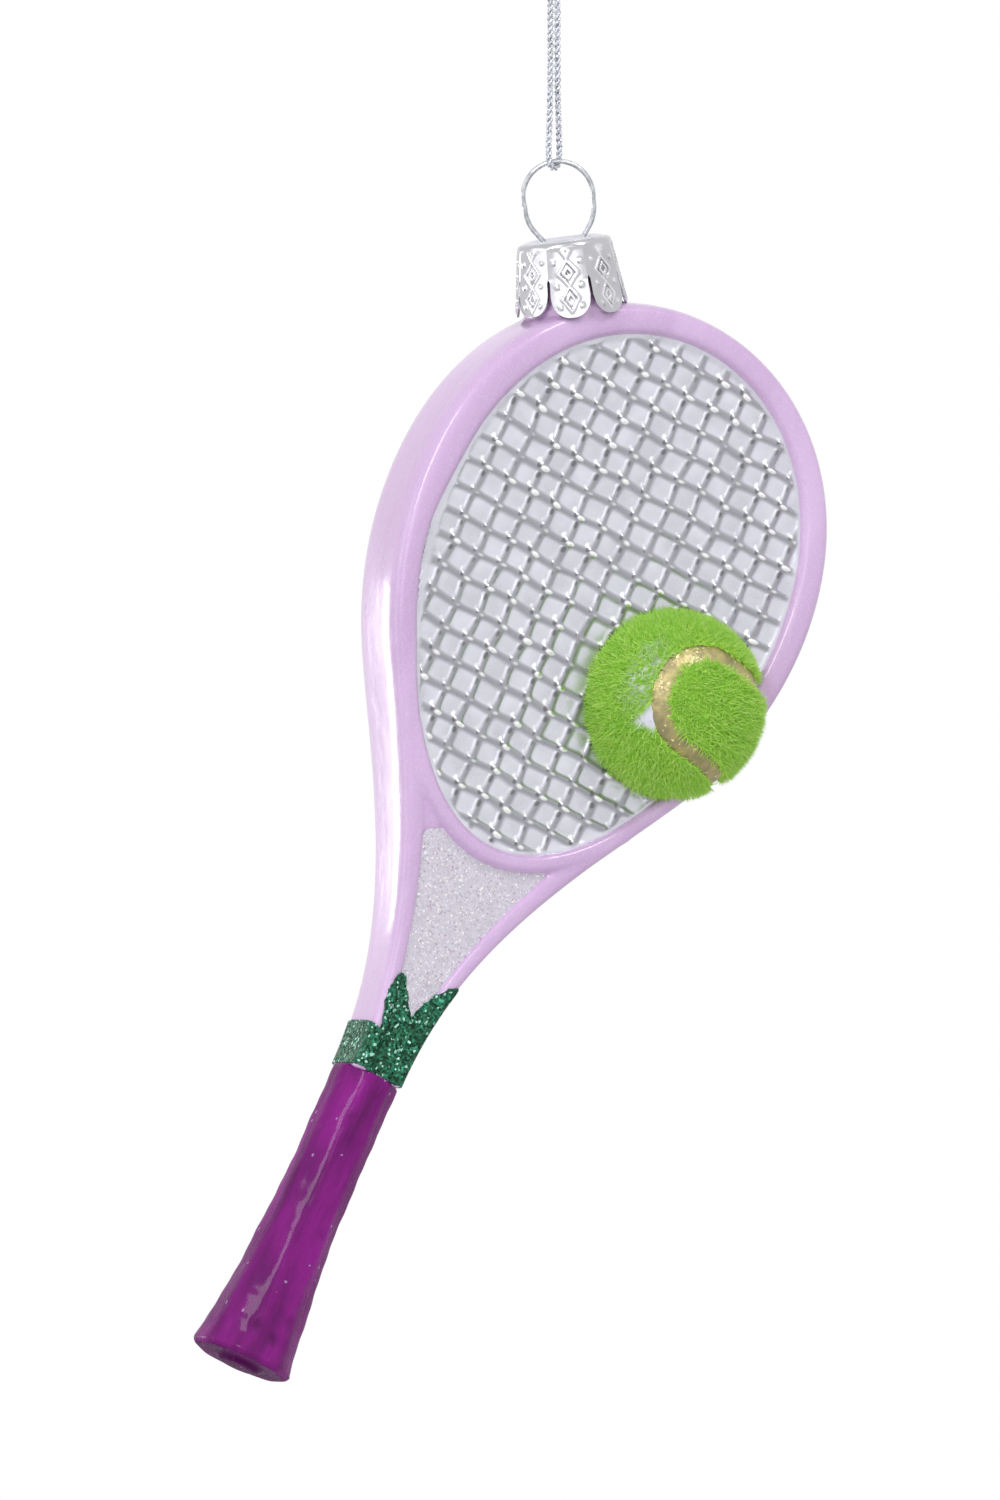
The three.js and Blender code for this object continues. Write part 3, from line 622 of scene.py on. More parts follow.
def flock_finish(colour):
    material, tree, shader = new_material(
        "Green Flock", metallic=0.0, sheen_weight=0.2, sheen_tint=linear((0.75, 0.95, 0.45)),
    )
    each, bare = attribute(tree, "tone"), attribute(tree, "bare")
    # Painted shade: each fibre darker at its root and lighter at its tip
    root = mix(tree, each, linear((0.66, 0.86, 0.3)), linear((0.78, 0.93, 0.42)))
    point = mix(tree, each, linear(colour, 1.7), linear((0.92, 0.99, 0.66)))
    tone = mix(tree, attribute(tree, "tip"), root, point)
    patch = remap(tree, noise(tree, 320.0), 0.4, 0.7, 0.0, 0.35)
    tone = mix(tree, patch, tone, linear((0.8, 0.95, 0.42)))
    # The worn and thin flock shows the silvered glass, and its near white is also a painted highlight
    tone = mix(tree, bare, tone, linear((0.9, 0.9, 0.96)))
    feed(tree, shader, base_color=tone, roughness=remap(tree, bare, 0.0, 1.0, 0.8, 0.2))
    feed(tree, shader, normal=bump(tree, noise(tree, 4200.0), 0.6, 0.0001))
    return material


def gold_finish(colour):
    material, tree, shader = new_material("Gold Paint", metallic=0.7)
    flakes, worn = glitter(tree, 4200.0, 0.2, 0.02), noise(tree, 600.0, 3.0)
    tone = tones(tree, remap(tree, worn, 0.4, 0.62), colour, 0.42, 1.1)
    tone = mix(tree, 0.32, tone, linear((0.86, 0.83, 0.66)))
    tone = mix(tree, flakes["Flash"], tone, linear((0.98, 0.93, 0.72)))
    rough = remap(tree, worn, 0.3, 0.7, 0.3, 0.5)
    feed(tree, shader, base_color=tone, roughness=rough, normal=flakes["Normal"])
    return material


# Settings


def length_setting(name, description, default, least=0.0):
    return bpy.props.FloatProperty(
        name=name, description=description, default=default, min=least, unit="LENGTH",
    )


def colour_setting(name, description, slot):
    return bpy.props.FloatVectorProperty(
        name=name, description=description, default=SLOT_COLOURS[slot], subtype="COLOR_GAMMA",
    )


class OrnamentSizes(bpy.types.PropertyGroup):
    strand: length_setting("Strand", "Thickness of the hanging cord's strand", 0.00076, 0.0003)
    lay: length_setting("Lay", "Length of one turn of the strand's plies", 0.0015, 0.0004)
    string_across: length_setting("String Pitch Across", "From string to string across the bed", 0.00312, 0.001)
    string_along: length_setting("String Pitch Along", "From string to string up the bed", 0.003, 0.001)
    string_width: length_setting("String Width", "Width of a raised string", 0.00072, 0.0002)
    dish: length_setting("Dish", "Depth of the hollow between four strings", 0.00034)
    fibre: length_setting("Fibre", "Length of the ball's flock", 0.00095, 0.0001)
    fibres: bpy.props.FloatProperty(
        name="Fibre Density", description="Fibres on a square metre of the ball", default=3.4e7, min=0,
    )


class OrnamentColours(bpy.types.PropertyGroup):
    cord: colour_setting("Cord", "Silver thread", "silver_cord")
    wire: colour_setting("Wire", "Drawn wire", "loop_wire")
    cap: colour_setting("Cap", "Stamped sheet", "cap_metal")
    glass: colour_setting("Glass", "Silvered glass", "silvered_glass")
    frame: colour_setting("Frame", "Pearly lacquer of the frame", "lavender_lacquer")
    throat: colour_setting("Throat", "Pale glitter of the throat", "pale_glitter")
    collar: colour_setting("Collar", "Dark glitter of the leaves", "green_glitter")
    grip: colour_setting("Grip", "Lacquer of the grip", "purple_lacquer")
    flock: colour_setting("Flock", "Flock of the ball", "green_flock")
    seam: colour_setting("Seam", "Paint of the ball's seam", "gold_paint")


# Stage

CAMERA_AZIMUTH = -24.6
CAMERA_LENS = 1000
SENSOR_WIDTH = 36
CAMERA_PLACE = (-1.9339, -4.2096, -0.0920)
CAMERA_REACH = (0.1, 20)
FLOOR_HEIGHT = -0.19
FLOOR_HALF = 0.6
TARGET = Vector((0.002, 0, -0.09))
# Each lamp's steps from the target to the camera's right, to its front and up, its width, height and power
LAMPS = {
    "window": (-0.42, 0.95, 0.66, 0.3, 0.5, 4.0),
    "strip": (-0.85, -0.55, -0.16, 0.2, 0.56, 2.2),
    "top": (0.45, 0.5, 0.85, 0.35, 0.35, 3.2),
    "front": (0.0, 1.1, 0.2, 0.5, 0.35, 0.9),
    "fill": (-1.1, 0.35, 0.2, 0.7, 0.8, 1.8),
}
WORLD_LIGHT = 0.42


def add_lamp(name, side, front, up, width, height, power):
    a = math.radians(CAMERA_AZIMUTH)
    right, near = Vector((math.cos(a), math.sin(a), 0)), Vector((math.sin(a), -math.cos(a), 0))
    light = bpy.data.lights.new(name, "AREA")
    light.shape, light.size, light.size_y, light.energy = "RECTANGLE", width, height, power
    lamp = bpy.data.objects.new(name, light)
    bpy.context.scene.collection.objects.link(lamp)
    lamp.location = TARGET + right * side + near * front + Vector((0, 0, up))
    lamp.rotation_euler = (TARGET - lamp.location).to_track_quat("-Z", "Y").to_euler()
    lamp.visible_camera = False


def add_camera(scene):
    lens = bpy.data.cameras.new("camera")
    lens.lens, lens.sensor_width = CAMERA_LENS, SENSOR_WIDTH
    lens.clip_start, lens.clip_end = CAMERA_REACH
    camera = bpy.data.objects.new("camera", lens)
    camera.location = CAMERA_PLACE
    camera.rotation_euler = (math.radians(90), 0, math.radians(CAMERA_AZIMUTH))
    scene.collection.objects.link(camera)
    scene.camera = camera


def add_surroundings(scene):
    """A world that looks white to the camera and in mirrors, and gives a softer light."""
    world = bpy.data.worlds.new("surroundings")
    world.use_nodes = True
    tree = world.node_tree
    tree.nodes.clear()
    path = add(tree, "ShaderNodeLightPath").outputs
    seen = maths(tree, "ADD", path["Is Camera Ray"], path["Is Glossy Ray"])
    seen = maths(tree, "ADD", seen, path["Is Transmission Ray"])
    strength = remap(tree, seen, 0.0, 1.0, WORLD_LIGHT, 1.0)
    light = add(tree, "ShaderNodeBackground", {"Color": (1, 1, 1, 1), "Strength": strength})
    add(tree, "ShaderNodeOutputWorld", {"Surface": light.outputs[0]})
    scene.world = world


def add_floor():
    corners = [(*corner, 0) for corner in rectangle(-FLOOR_HALF, FLOOR_HALF, -FLOOR_HALF, FLOOR_HALF)]
    place = Matrix.Translation((0, 0, FLOOR_HEIGHT / MM)) @ Matrix.Scale(1 / MM, 4)
    floor = make_object("floor", corners, [(0, 1, 2, 3)], place)
    material, tree, shader = new_material("Pale Floor", roughness=0.9)
    tone = mix(tree, noise(tree, 6.0), (0.86, 0.86, 0.87, 1), (0.9, 0.9, 0.9, 1))
    feed(tree, shader, base_color=tone)
    floor.data.materials.append(material)


class ORNAMENT_OT_stage(bpy.types.Operator):
    """Adds the camera, the lamps, the white surroundings and the floor"""

    bl_idname = "ornament.stage"
    bl_label = "Stage"

    def execute(self, context):
        add_camera(context.scene)
        for name, values in LAMPS.items():
            add_lamp(name, *values)
        add_surroundings(context.scene)
        context.scene.view_settings.view_transform = "Standard"
        add_floor()
        return {"FINISHED"}


# Cord and knot

# The cord's way from the hook to its bight under the wire: right, front and up, square to the loop
CORD_DOWN = [
    (-0.42, 0, 0.62), (-0.95, 0, -0.25), (-1.3, 0, -1.5), (-1.1, 0, -3), (-0.62, 0, -4.8), (-0.42, 0, -7),
    (-0.4, 0, -11), (-0.4, 0, -15), (-0.42, 0.1, -19), (-0.5, 0.5, -22.5), (-0.58, 0.95, -24.8),
    (-0.58, 1.1, -26.1), (-0.5, 0.93, -26.85), (-0.28, 0.5, -27.3), (0, 0, -27.44),
]
# It comes back on the other side, half a turn round
CORD_ROUTE = CORD_DOWN + [(-right, -front, up) for right, front, up in CORD_DOWN[-2::-1]]
BIGHT_BOTTOM = -27.295
# One of the knot's two strands; the other is the same half a turn round
KNOT_ROUTE = [
    (-0.42, 0, 0.55), (-0.28, 0.4, 1.15), (0.42, 0.62, 1.75), (0.92, 0.05, 2.2), (0.5, -0.62, 1.95),
    (-0.45, -0.62, 1.5), (-0.92, 0, 1.75), (-0.55, 0.5, 2.35), (0.05, 0.12, 2.95), (-0.35, 0, 3.7),
    (-0.6, 0.05, 4.9), (-1.0, 0, 6.2), (-1.6, 0, 7.5),
]
# The plies' way from the strand's middle and their radius, as shares of the strand
PLY_REACH = 0.24
PLY_RADIUS = 0.25
PLY_SIDES = 8


def cord_points():
    """The route with its bight sunk to its real depth under the wire."""
    low = min(up for _, _, up in CORD_ROUTE)
    sunk = [
        (right, -front, up + (BIGHT_BOTTOM - low) * min(max(-up / HANG_DROP, 0), 1))
        for right, front, up in CORD_ROUTE
    ]
    return curve_through(sunk, 6)


def ply_tree(material):
    """Winds plies round each path and skins them."""
    tree, given, made = group_tree(
        "Twisted Strand", "GeometryNodeTree",
        {"Geometry": None, "Strand": 0.00062, "Lay": 0.0013, "Plies": 2, "Step": 0.00012}, {"Geometry": None},
    )
    path = add(tree, "GeometryNodeMeshToCurve", {"Mesh": given["Geometry"]}).outputs[0]
    path = add(tree, "GeometryNodeResampleCurve", {"Curve": path, "Length": given["Step"]}, mode="LENGTH")
    inputs = {"Geometry": path.outputs[0], "Amount": given["Plies"]}
    copies = add(tree, "GeometryNodeDuplicateElements", inputs, domain="SPLINE").outputs
    along = add(tree, "GeometryNodeSplineParameter").outputs["Length"]
    turns = maths(tree, "DIVIDE", along, given["Lay"])
    start = maths(tree, "DIVIDE", copies[1], given["Plies"])
    angle = maths(tree, "MULTIPLY", maths(tree, "ADD", turns, start), 2 * math.pi)
    tangent = add(tree, "GeometryNodeInputTangent").outputs[0]
    normal = add(tree, "GeometryNodeInputNormal").outputs[0]
    side = vector_maths(tree, "CROSS_PRODUCT", tangent, normal)
    reach = maths(tree, "MULTIPLY", given["Strand"], PLY_REACH)
    steps = [
        vector_maths(tree, "SCALE", way, maths(tree, "MULTIPLY", maths(tree, wave, angle), reach))
        for way, wave in ((normal, "COSINE"), (side, "SINE"))
    ]
    inputs = {"Geometry": copies[0], "Offset": vector_maths(tree, "ADD", *steps)}
    wound = add(tree, "GeometryNodeSetPosition", inputs).outputs[0]
    inputs = {"Resolution": PLY_SIDES, "Radius": maths(tree, "MULTIPLY", given["Strand"], PLY_RADIUS)}
    ring = add(tree, "GeometryNodeCurvePrimitiveCircle", inputs).outputs[0]
    inputs = {"Curve": wound, "Profile Curve": ring, "Fill Caps": True}
    skin = add(tree, "GeometryNodeCurveToMesh", inputs).outputs[0]
    return end_geometry(tree, made, skin, material)


def plied(name, paths, sizes, material):
    """A twisted strand along each path."""
    points = np.vstack(paths)
    ends = np.cumsum([len(path) for path in paths]) - 1
    edges = [(i, i + 1) for i in range(len(points)) if i not in ends]
    piece = make_object(name, points, [], CORD, edges)
    tree = bpy.data.node_groups.get("Twisted Strand") or ply_tree(material)
    return apply_tree(piece, tree, {"Strand": sizes.strand, "Lay": sizes.lay})


class ORNAMENT_OT_cord(bpy.types.Operator):
    """Makes the twisted cord round the wire and the knot above the hook"""

    bl_idname = "ornament.cord"
    bl_label = "Cord and Knot"

    def execute(self, context):
        sizes, material = context.scene.ornament_sizes, cord_finish(context.scene.ornament_colours.cord)
        route = cord_points()
        cord = plied("cord", [route], sizes, material)
        finish_piece(cord, "cord", ["hanging_cord"], material, ROUND_CREASE)
        strand = curve_through(KNOT_ROUTE, 8)
        knot = plied("knot", [strand, strand * [-1, -1, 1]], sizes, material)
        finish_piece(knot, "cord", ["cord_knot"], material, ROUND_CREASE)
        return {"FINISHED"}


# Wire loop

WIRE_RADIUS = 0.275
LOOP_RADIUS = 3.9
LOOP_RISE = 4.93
LOOP_OPEN = 80
LEG_HALF_SPREAD = 2.1
LEG_BEND = [
    (3.8, 0, 3.2), (3.42, 0, 1.9), (2.75, 0, 0.85), (2.12, 0, -0.05), (1.95, 0, -1.0), (2.1, 0, -2.4),
]
LEG_END = (3.012, 0, -7.6)
LEG_STEPS = 10
RING_STEPS = 90


def tube(name, path, radius, place, sides=16):
    """A round rod along a path that stays in one plane, square to y."""
    up = np.array([0.0, 1.0, 0.0])
    across = np.cross(unit(np.gradient(path, axis=0)), up)
    angles = round_angles(sides)[:, None]
    rings = [p + radius * (np.cos(angles) * n + np.sin(angles) * up) for p, n in zip(path, across)]
    return loft(name, rings, place)


class ORNAMENT_OT_loop(bpy.types.Operator):
    """Makes the bent wire loop with its two legs"""

    bl_idname = "ornament.loop"
    bl_label = "Wire Loop"

    def execute(self, context):
        start = math.radians(LOOP_OPEN)
        angles = np.linspace(start, 2 * math.pi - start, RING_STEPS)
        x, z = LOOP_RADIUS * np.sin(angles), LOOP_RISE - LOOP_RADIUS * np.cos(angles)
        ring = np.stack([x, 0 * x, z], -1)
        # The bend starts one step back on the ring, so that it leaves the ring in its direction
        leg = curve_through([ring[1], ring[0], *LEG_BEND, LEG_END], LEG_STEPS)[LEG_STEPS + 1 :]
        loop = tube("wire_ring", np.vstack([leg[::-1], ring, leg * [-1, 1, 1]]), WIRE_RADIUS, CAP)
        material = wire_finish(context.scene.ornament_colours.wire)
        finish_piece(loop, "loop", ["wire_loop"], material)
        return {"FINISHED"}


# Cap

CAP_TOP_RADIUS = 5.3
CAP_MOUTH_RADIUS = 6.45
CAP_HEIGHT = 7.6
CAP_SHEET = 0.25
CAP_FLAT = 0.55  # how far each petal is flattened from the round
SHOULDER_DEPTH = 0.7
SHOULDER_INSET = 0.55
TOP_RISE = 0.12
TOP_SHARES = np.linspace(0, 1, 7)[1:-1]
PETALS = 8
PETAL_ROUND = 2.35
PETAL_COLUMNS = 31
PETAL_ROWS = 60
SLIT_TOP = 3.9
SLIT_GAP = 0.34
PETAL_WELD = 4e-6
LEG_HOLE = 0.5
# Each diamond's middle below the cap's top, its half width and half height
STAMPS = ((3.15, 1.12, 1.3), (5.75, 1.02, 1.25), (0.9, 0.5, 0.7))
# The nested diamonds' sizes, as shares of the whole one
STAMP_SHARES = (0.45, 1.0)
# Each pair of dots: the distance from the petal's middle line and from the cap's top
STAMP_DOTS = ((1.5, 2.0), (1.45, 4.45), (1.3, 6.5))
DOT_SIZE = 0.22
DOT_GROOVE = 0.16
RIDGE_WIDTH = 0.17
RIDGE_HEIGHT = 0.16
GROOVE_WIDTH = 0.1
GROOVE_DEPTH = 0.04
GROOVE_STEP = 0.24
PETAL_EXTRA = 0.3
PETAL_OVERHANG = 0.5


def diamonds(across, down):
    """The stamped pattern of a petal, its ridges and the grooves beside them: nested diamonds and dots."""
    ridge, groove = np.zeros_like(across), np.zeros_like(across)
    for middle, width, height in STAMPS:
        reach = np.abs(across) / width + np.abs(down - middle) / height
        for share in STAMP_SHARES:
            edge = np.exp(-(((reach - share) * width / RIDGE_WIDTH) ** 2))
            inner = np.exp(-(((reach - share + GROOVE_STEP) * width / GROOVE_WIDTH) ** 2))
            ridge, groove = np.maximum(ridge, edge), np.maximum(groove, inner)
    for x, y in STAMP_DOTS:
        ridge = np.maximum(ridge, spot(np.abs(across) - x, down - y, DOT_SIZE, DOT_SIZE))
        dint = spot(np.abs(across) - x + 0.1, down - y - 0.2, DOT_GROOVE, DOT_GROOVE)
        groove = np.maximum(groove, 0.8 * dint)
    return ridge, groove * (1 - ridge)


def petal_length(k):
    """Petals in front and behind hang past the glass rim, the ones over it end short of it."""
    angle = k * 2 * math.pi / PETALS
    outwards = (CAP.to_3x3() @ Vector((math.cos(angle), math.sin(angle), 0))).y
    return CAP_HEIGHT + PETAL_EXTRA + PETAL_OVERHANG * float(smoothstep(abs(outwards), 0.5, 0.9))


def petal_skin(k):
    """The points of one petal and its slice of the top, with their ridges and grooves."""
    length, half = petal_length(k), math.pi * CAP_MOUTH_RADIUS / PETALS
    u, rows = np.linspace(-1, 1, PETAL_COLUMNS)[None], np.linspace(0, 1, PETAL_ROWS)[:, None]
    arc = np.maximum(np.abs(u) * half - (half - PETAL_ROUND), 0)
    end = length - PETAL_ROUND + np.sqrt(np.maximum(PETAL_ROUND**2 - arc**2, 0))
    # The rows stay level down to the slits, and below them they spread to the petal's round end
    first = rows[rows * length < SLIT_TOP].max()
    spread = first * length + (rows - first) / (1 - first) * (end - first * length)
    down = np.where(rows > first, spread, rows * length)
    share = down / CAP_HEIGHT
    shoulder = np.clip(1 - down / SHOULDER_DEPTH, 0, 1)
    radius = CAP_TOP_RADIUS + (CAP_MOUTH_RADIUS - CAP_TOP_RADIUS) * share
    radius = radius - SHOULDER_INSET * (1 - np.sqrt(1 - shoulder**2))
    slit = 0.5 * SLIT_GAP * smoothstep(down, SLIT_TOP - 0.1, SLIT_TOP + 0.5)
    angle = k * 2 * math.pi / PETALS + u * (math.pi / PETALS - slit / radius)
    flat = -CAP_FLAT * (1 - math.cos(math.pi / PETALS) / np.cos(u * math.pi / PETALS))
    radius = radius * (1 + flat * smoothstep(down, 0.0, 1.2))
    ridge, groove = diamonds(u * half * (0.82 + 0.18 * share), down * CAP_HEIGHT / length)
    hem = smoothstep(end - down, 0.0, 0.35) * smoothstep(down, 0.5, 1.0)
    radius = radius + (RIDGE_HEIGHT * ridge - GROOVE_DEPTH * groove) * hem
    skirt = np.stack([radius * np.cos(angle), radius * np.sin(angle), -down], -1).reshape(-1, 3)
    disc = [skirt[:PETAL_COLUMNS] * [s, s, 1] + [0, 0, TOP_RISE * (1 - s)] for s in TOP_SHARES]
    points = np.concatenate([skirt, *disc, [[0, 0, TOP_RISE]]])
    plain = np.ones(len(points) - len(skirt))
    return points, np.append(ridge * hem, 0.5 * plain), np.append(groove * hem, 0 * plain)


def petal_faces():
    """One petal's quads, those of its slice of the top, the strip between them and the fan in the middle."""
    disc, rings, columns = PETAL_ROWS * PETAL_COLUMNS, len(TOP_SHARES), range(PETAL_COLUMNS - 1)
    last, middle = disc + (rings - 1) * PETAL_COLUMNS, disc + rings * PETAL_COLUMNS
    faces = grid_faces(PETAL_ROWS, PETAL_COLUMNS, False)
    faces += [[disc + i for i in reversed(quad)] for quad in grid_faces(rings, PETAL_COLUMNS, False)]
    faces += [[last + i, i, i + 1, last + i + 1] for i in columns]
    return faces + [[disc + i, disc + i + 1, middle] for i in columns]


def top_up(shape):
    """Turns the skin's faces round where its top looks down."""
    top = max(shape.faces, key=lambda f: (CAP.inverted() @ (f.calc_center_median() / MM)).z)
    if (CAP.to_3x3().inverted() @ top.normal).z < 0:
        bmesh.ops.reverse_faces(shape, faces=shape.faces)


class ORNAMENT_OT_cap(bpy.types.Operator):
    """Makes the stamped crown cap with its petals and the two holes for the wire"""

    bl_idname = "ornament.cap"
    bl_label = "Cap"

    def execute(self, context):
        points, relief, grooves = (np.concatenate(p) for p in zip(*map(petal_skin, range(PETALS))))
        count = len(points) // PETALS
        faces = [[k * count + i for i in face] for k in range(PETALS) for face in petal_faces()]
        cap = make_object("crown_cap", points, faces, CAP)
        paint(cap, relief=relief, groove=grooves)
        edit_mesh(cap, lambda shape: weld(shape, PETAL_WELD), face_out, top_up)
        wall = cap.modifiers.new("wall", "SOLIDIFY")
        wall.thickness, wall.offset = CAP_SHEET * MM, -1
        bake(cap)
        for side in (-1, 1):
            place = CAP @ Matrix.Translation((side * LEG_HALF_SPREAD, 0, 0))
            combine(cap, turned("tool", [(LEG_HOLE, -1), (LEG_HOLE, 1)], place, 24))
        material = cap_finish(context.scene.ornament_colours.cap)
        finish_piece(cap, "cap", ["ornament_cap"], material, CUT_CREASE)
        return {"FINISHED"}


# Glass

BED_FLOOR_CUT = 3.45
BED_CUT_TOP = 6.5
BED_CUT_REACH = 0.9
BED_EDGE = STRING_TOP - 0.1
BED_EDGE_WIDTH = 0.32
SLAB_REACH = 1.0
SLAB_SINK = 0.3
STRING_COLUMNS = range(-9, 9)
STRING_ROWS = range(-12, 11)
STRING_BLEND = 0.19
STRING_SINK = 0.08
KNOT_RISE = 0.19
# The strings' stray from a true lattice, across and along, as waves of (height, rate across, rate along, start)
STRAY = (
    ((0.10, 0, 0.9, 1.3), (0.08, 1.7, 0.6, 0), (0.07, 0.73, 0, 2)),
    ((0.10, 0.8, 0, 0.4), (0.08, -0.5, 1.9, 0), (0.07, 0, 0.61, 1)),
)
# The knot, the painted glints and the painted shadows at a crossing, as spots of (strength, across, along,
# width, length)
KNOT_SPOTS = ((1, 0.1, 0, 0.5, 0.34),)
GLINT_SPOTS = ((1, 0.3, -0.02, 0.6, 0.34), (0.95, -0.76, 0.74, 0.26, 0.4))
SHADE_SPOTS = ((1, -0.48, 0.12, 0.26, 0.32), (1, -0.06, -0.95, 0.26, 0.42))
# The strings' lines across one cell, close beside the string; the hidden back has fewer
RIB_STEPS = (
    -0.38, -0.27, -0.21, -0.165, -0.125, -0.085, -0.04, 0.0, 0.04, 0.085, 0.125, 0.165, 0.21, 0.27, 0.38, 0.5,
)
BACK_STEPS = (-0.3, -0.17, -0.1, 0.0, 0.1, 0.17, 0.3, 0.5)
NECK_BORE = 3.55
NECK_LENGTH = 6.8
LIP_RISE = 0.3
NECK_SINK = 1.2
# The block that trims the neck's root in the neck's frame, and its reach out of the face
ROOT_BLOCK = (-6, 6, -3.4, -0.1)
ROOT_FACES = (4.55, 6.6)


def spot(across, along, width, length):
    return np.exp(-((across / width) ** 2) - (along / length) ** 2)


def spots(across, along, table):
    return sum(level * spot(across - x, along - y, *size) for level, x, y, *size in table)


def lattice_wave(x, y):
    """How far the hand-made strings stray from a true lattice at a point of the bed."""
    return [sum(high * np.sin(x * i + y * j + start) for high, i, j, start in waves) for waves in STRAY]


def cell_chance(i, j, turn_by):
    """A steady number from -1 to 1 for each cell of the lattice."""
    value = np.sin(i * 12.9898 + j * 78.233 + turn_by) * 43758.5453
    return 2 * (value - np.floor(value)) - 1


def string_relief(x, y, sizes):
    """The strings' share, their painted glints, their painted shadows and the height at points of the bed."""
    pitch, half = (sizes.string_across / MM, sizes.string_along / MM), sizes.string_width / MM / 2
    stray = lattice_wave(x, y)
    u, v = (x - STRING_SHIFT[0] + stray[0]) / pitch[0], (y - STRING_SHIFT[1] + stray[1]) / pitch[1]
    # Across and along from the nearest crossing, which stands up as a knot with a painted glint and a painted
    # shadow beside it
    across, along = (u - np.round(u)) * pitch[0], (v - np.round(v)) * pitch[1]
    near = np.exp(-np.abs(across) / STRING_BLEND) + np.exp(-np.abs(along) / STRING_BLEND)
    rib = 1 - smoothstep(-STRING_BLEND * np.log(near), half * 0.3, half * 1.7)
    i, j = np.floor(u), np.floor(v)
    lean = cell_chance(i, j, 0) * (u - i - 0.5) + cell_chance(i, j, 1.7) * (v - j - 0.5)
    bowl = np.sin(math.pi * (u - i)) * np.sin(math.pi * (v - j))
    floor = STRING_TOP - sizes.dish / MM * (1.0 - 0.25 * bowl) + 0.1 * lean * bowl
    chance = 0.7 + 0.3 * cell_chance(np.round(u), np.round(v), 2.9)
    knot, glint, shade = (spots(across, along, table) for table in (KNOT_SPOTS, GLINT_SPOTS, SHADE_SPOTS))
    height = floor + (STRING_TOP - STRING_SINK - floor) * rib + KNOT_RISE * knot * chance
    return rib, np.minimum(glint * chance, 1), np.minimum(shade * chance, 1), height


def bed_slab(side, steps, sizes):
    """The relief of one face of the bed, drawn along its strings, thick enough to sink into the glass."""
    u = np.concatenate([np.array(steps) + k for k in STRING_COLUMNS]) * (sizes.string_across / MM)
    v = np.concatenate([np.array(steps) + k for k in STRING_ROWS]) * (sizes.string_along / MM)
    want = np.stack(np.meshgrid(u + STRING_SHIFT[0], v + STRING_SHIFT[1]), -1).reshape(-1, 2)
    grid = want
    for _ in range(8):
        grid = want - np.stack(lattice_wave(*grid.T), -1)
    gap = rim_distance(grid)
    *_, height = string_relief(*grid.T, sizes)
    height = height + (BED_EDGE - height) * smoothstep(gap, -BED_EDGE_WIDTH, 0.0)
    quads = np.array(grid_faces(len(v), len(u), False))
    used, index = np.unique(quads[(gap[quads] < SLAB_REACH).all(1)], return_inverse=True)
    quads, count = index.reshape(-1, 4), len(used)
    edges = dict.fromkeys((a, b) for quad in quads.tolist() for a, b in zip(quad, quad[1:] + quad[:1]))
    faces = quads.tolist() + (quads[:, ::-1] + count).tolist()
    faces += [[b, a, a + count, b + count] for a, b in edges if (b, a) not in edges]
    top = np.column_stack([grid[used], height[used]])
    low = np.column_stack([grid[used], np.full(count, BED_FLOOR_CUT - SLAB_SINK)])
    points = np.vstack([top, low]) * ([1, 1, 1] if side > 0 else [-1, 1, -1])
    return edit_mesh(make_object("slab", points, faces), weld, face_out)


def trim_root(body, side):
    """Cuts the neck's root away where it stands out of one face of the head."""
    faces = sorted((-side * y for y in ROOT_FACES), reverse=True)
    block = [[(x, y, z) for x, z in rectangle(*ROOT_BLOCK)] for y in faces]
    combine(body, loft("tool", np.array(block, float), neck_place()))


def add_neck(body):
    """Gives the body the neck's open tube with its rounded lip."""
    wall = (NECK_RADIUS - NECK_BORE) / 2
    lip = [
        (NECK_RADIUS - wall + wall * math.cos(a), NECK_LENGTH + LIP_RISE + wall * math.sin(a))
        for a in np.linspace(0, math.pi, 9)
    ]
    profile = [(NECK_BORE, -NECK_SINK), (NECK_RADIUS, -NECK_SINK), (NECK_RADIUS, 1.0), *lip]
    combine(body, turned("neck", profile, neck_place(), is_closed=True), "UNION")


def paint_bed(body, sizes):
    points = local_points(body)
    facing = points[:, :2] * np.where(points[:, 2:] < 0, [-1, 1], [1, 1])
    rib, glint, shade, _ = string_relief(*facing.T, sizes)
    edge = 1 - smoothstep(rim_distance(points[:, :2]), -0.3, -0.05)
    # The strings carry painted shade, the glints painted highlights and the shade spots painted shadows
    paint(body, string=rib * edge, glint=glint * edge, shade=shade * edge)


class ORNAMENT_OT_glass(bpy.types.Operator):
    """Makes the silvered glass body with its strings in relief and its open neck"""

    bl_idname = "ornament.glass"
    bl_label = "Glass"

    def execute(self, context):
        sizes = context.scene.ornament_sizes
        body = bpy.data.objects.new("glass_body", frame["nodes"]["glass_shell"].data.copy())
        context.scene.collection.objects.link(body)
        edit_mesh(body, weld)
        for side, steps in ((1, RIB_STEPS), (-1, BACK_STEPS)):
            low, high = sorted((side * BED_FLOOR_CUT, side * BED_CUT_TOP))
            combine(body, prism(egg_outline(BED, BED_CUT_REACH), low, high))
            combine(body, bed_slab(side, steps, sizes), "UNION")
        for side in (1, -1):
            trim_root(body, side)
        add_neck(body)
        paint_bed(body, sizes)
        material = glass_finish(context.scene.ornament_colours.glass)
        finish_piece(body, "racket", ["glass_shell"], material, CUT_CREASE)
        return {"FINISHED"}


# Coats of the frame, throat and collar

SECTION_STEPS = 32
# The lacquer's foot round the neck and the hole that the glass neck leaves in it, as (radius, height)
FOOT_RING = [(5.3, -0.6), (5.55, 0.0), (5.2, 0.7), (4.98, 1.4), (4.9, 2.8)]
NECK_HOLE = NECK_RADIUS + 0.02
FOOT_HOLE = [(NECK_HOLE, -0.5), (5.33, 0), (NECK_HOLE, 1.15), (NECK_HOLE, 8)]
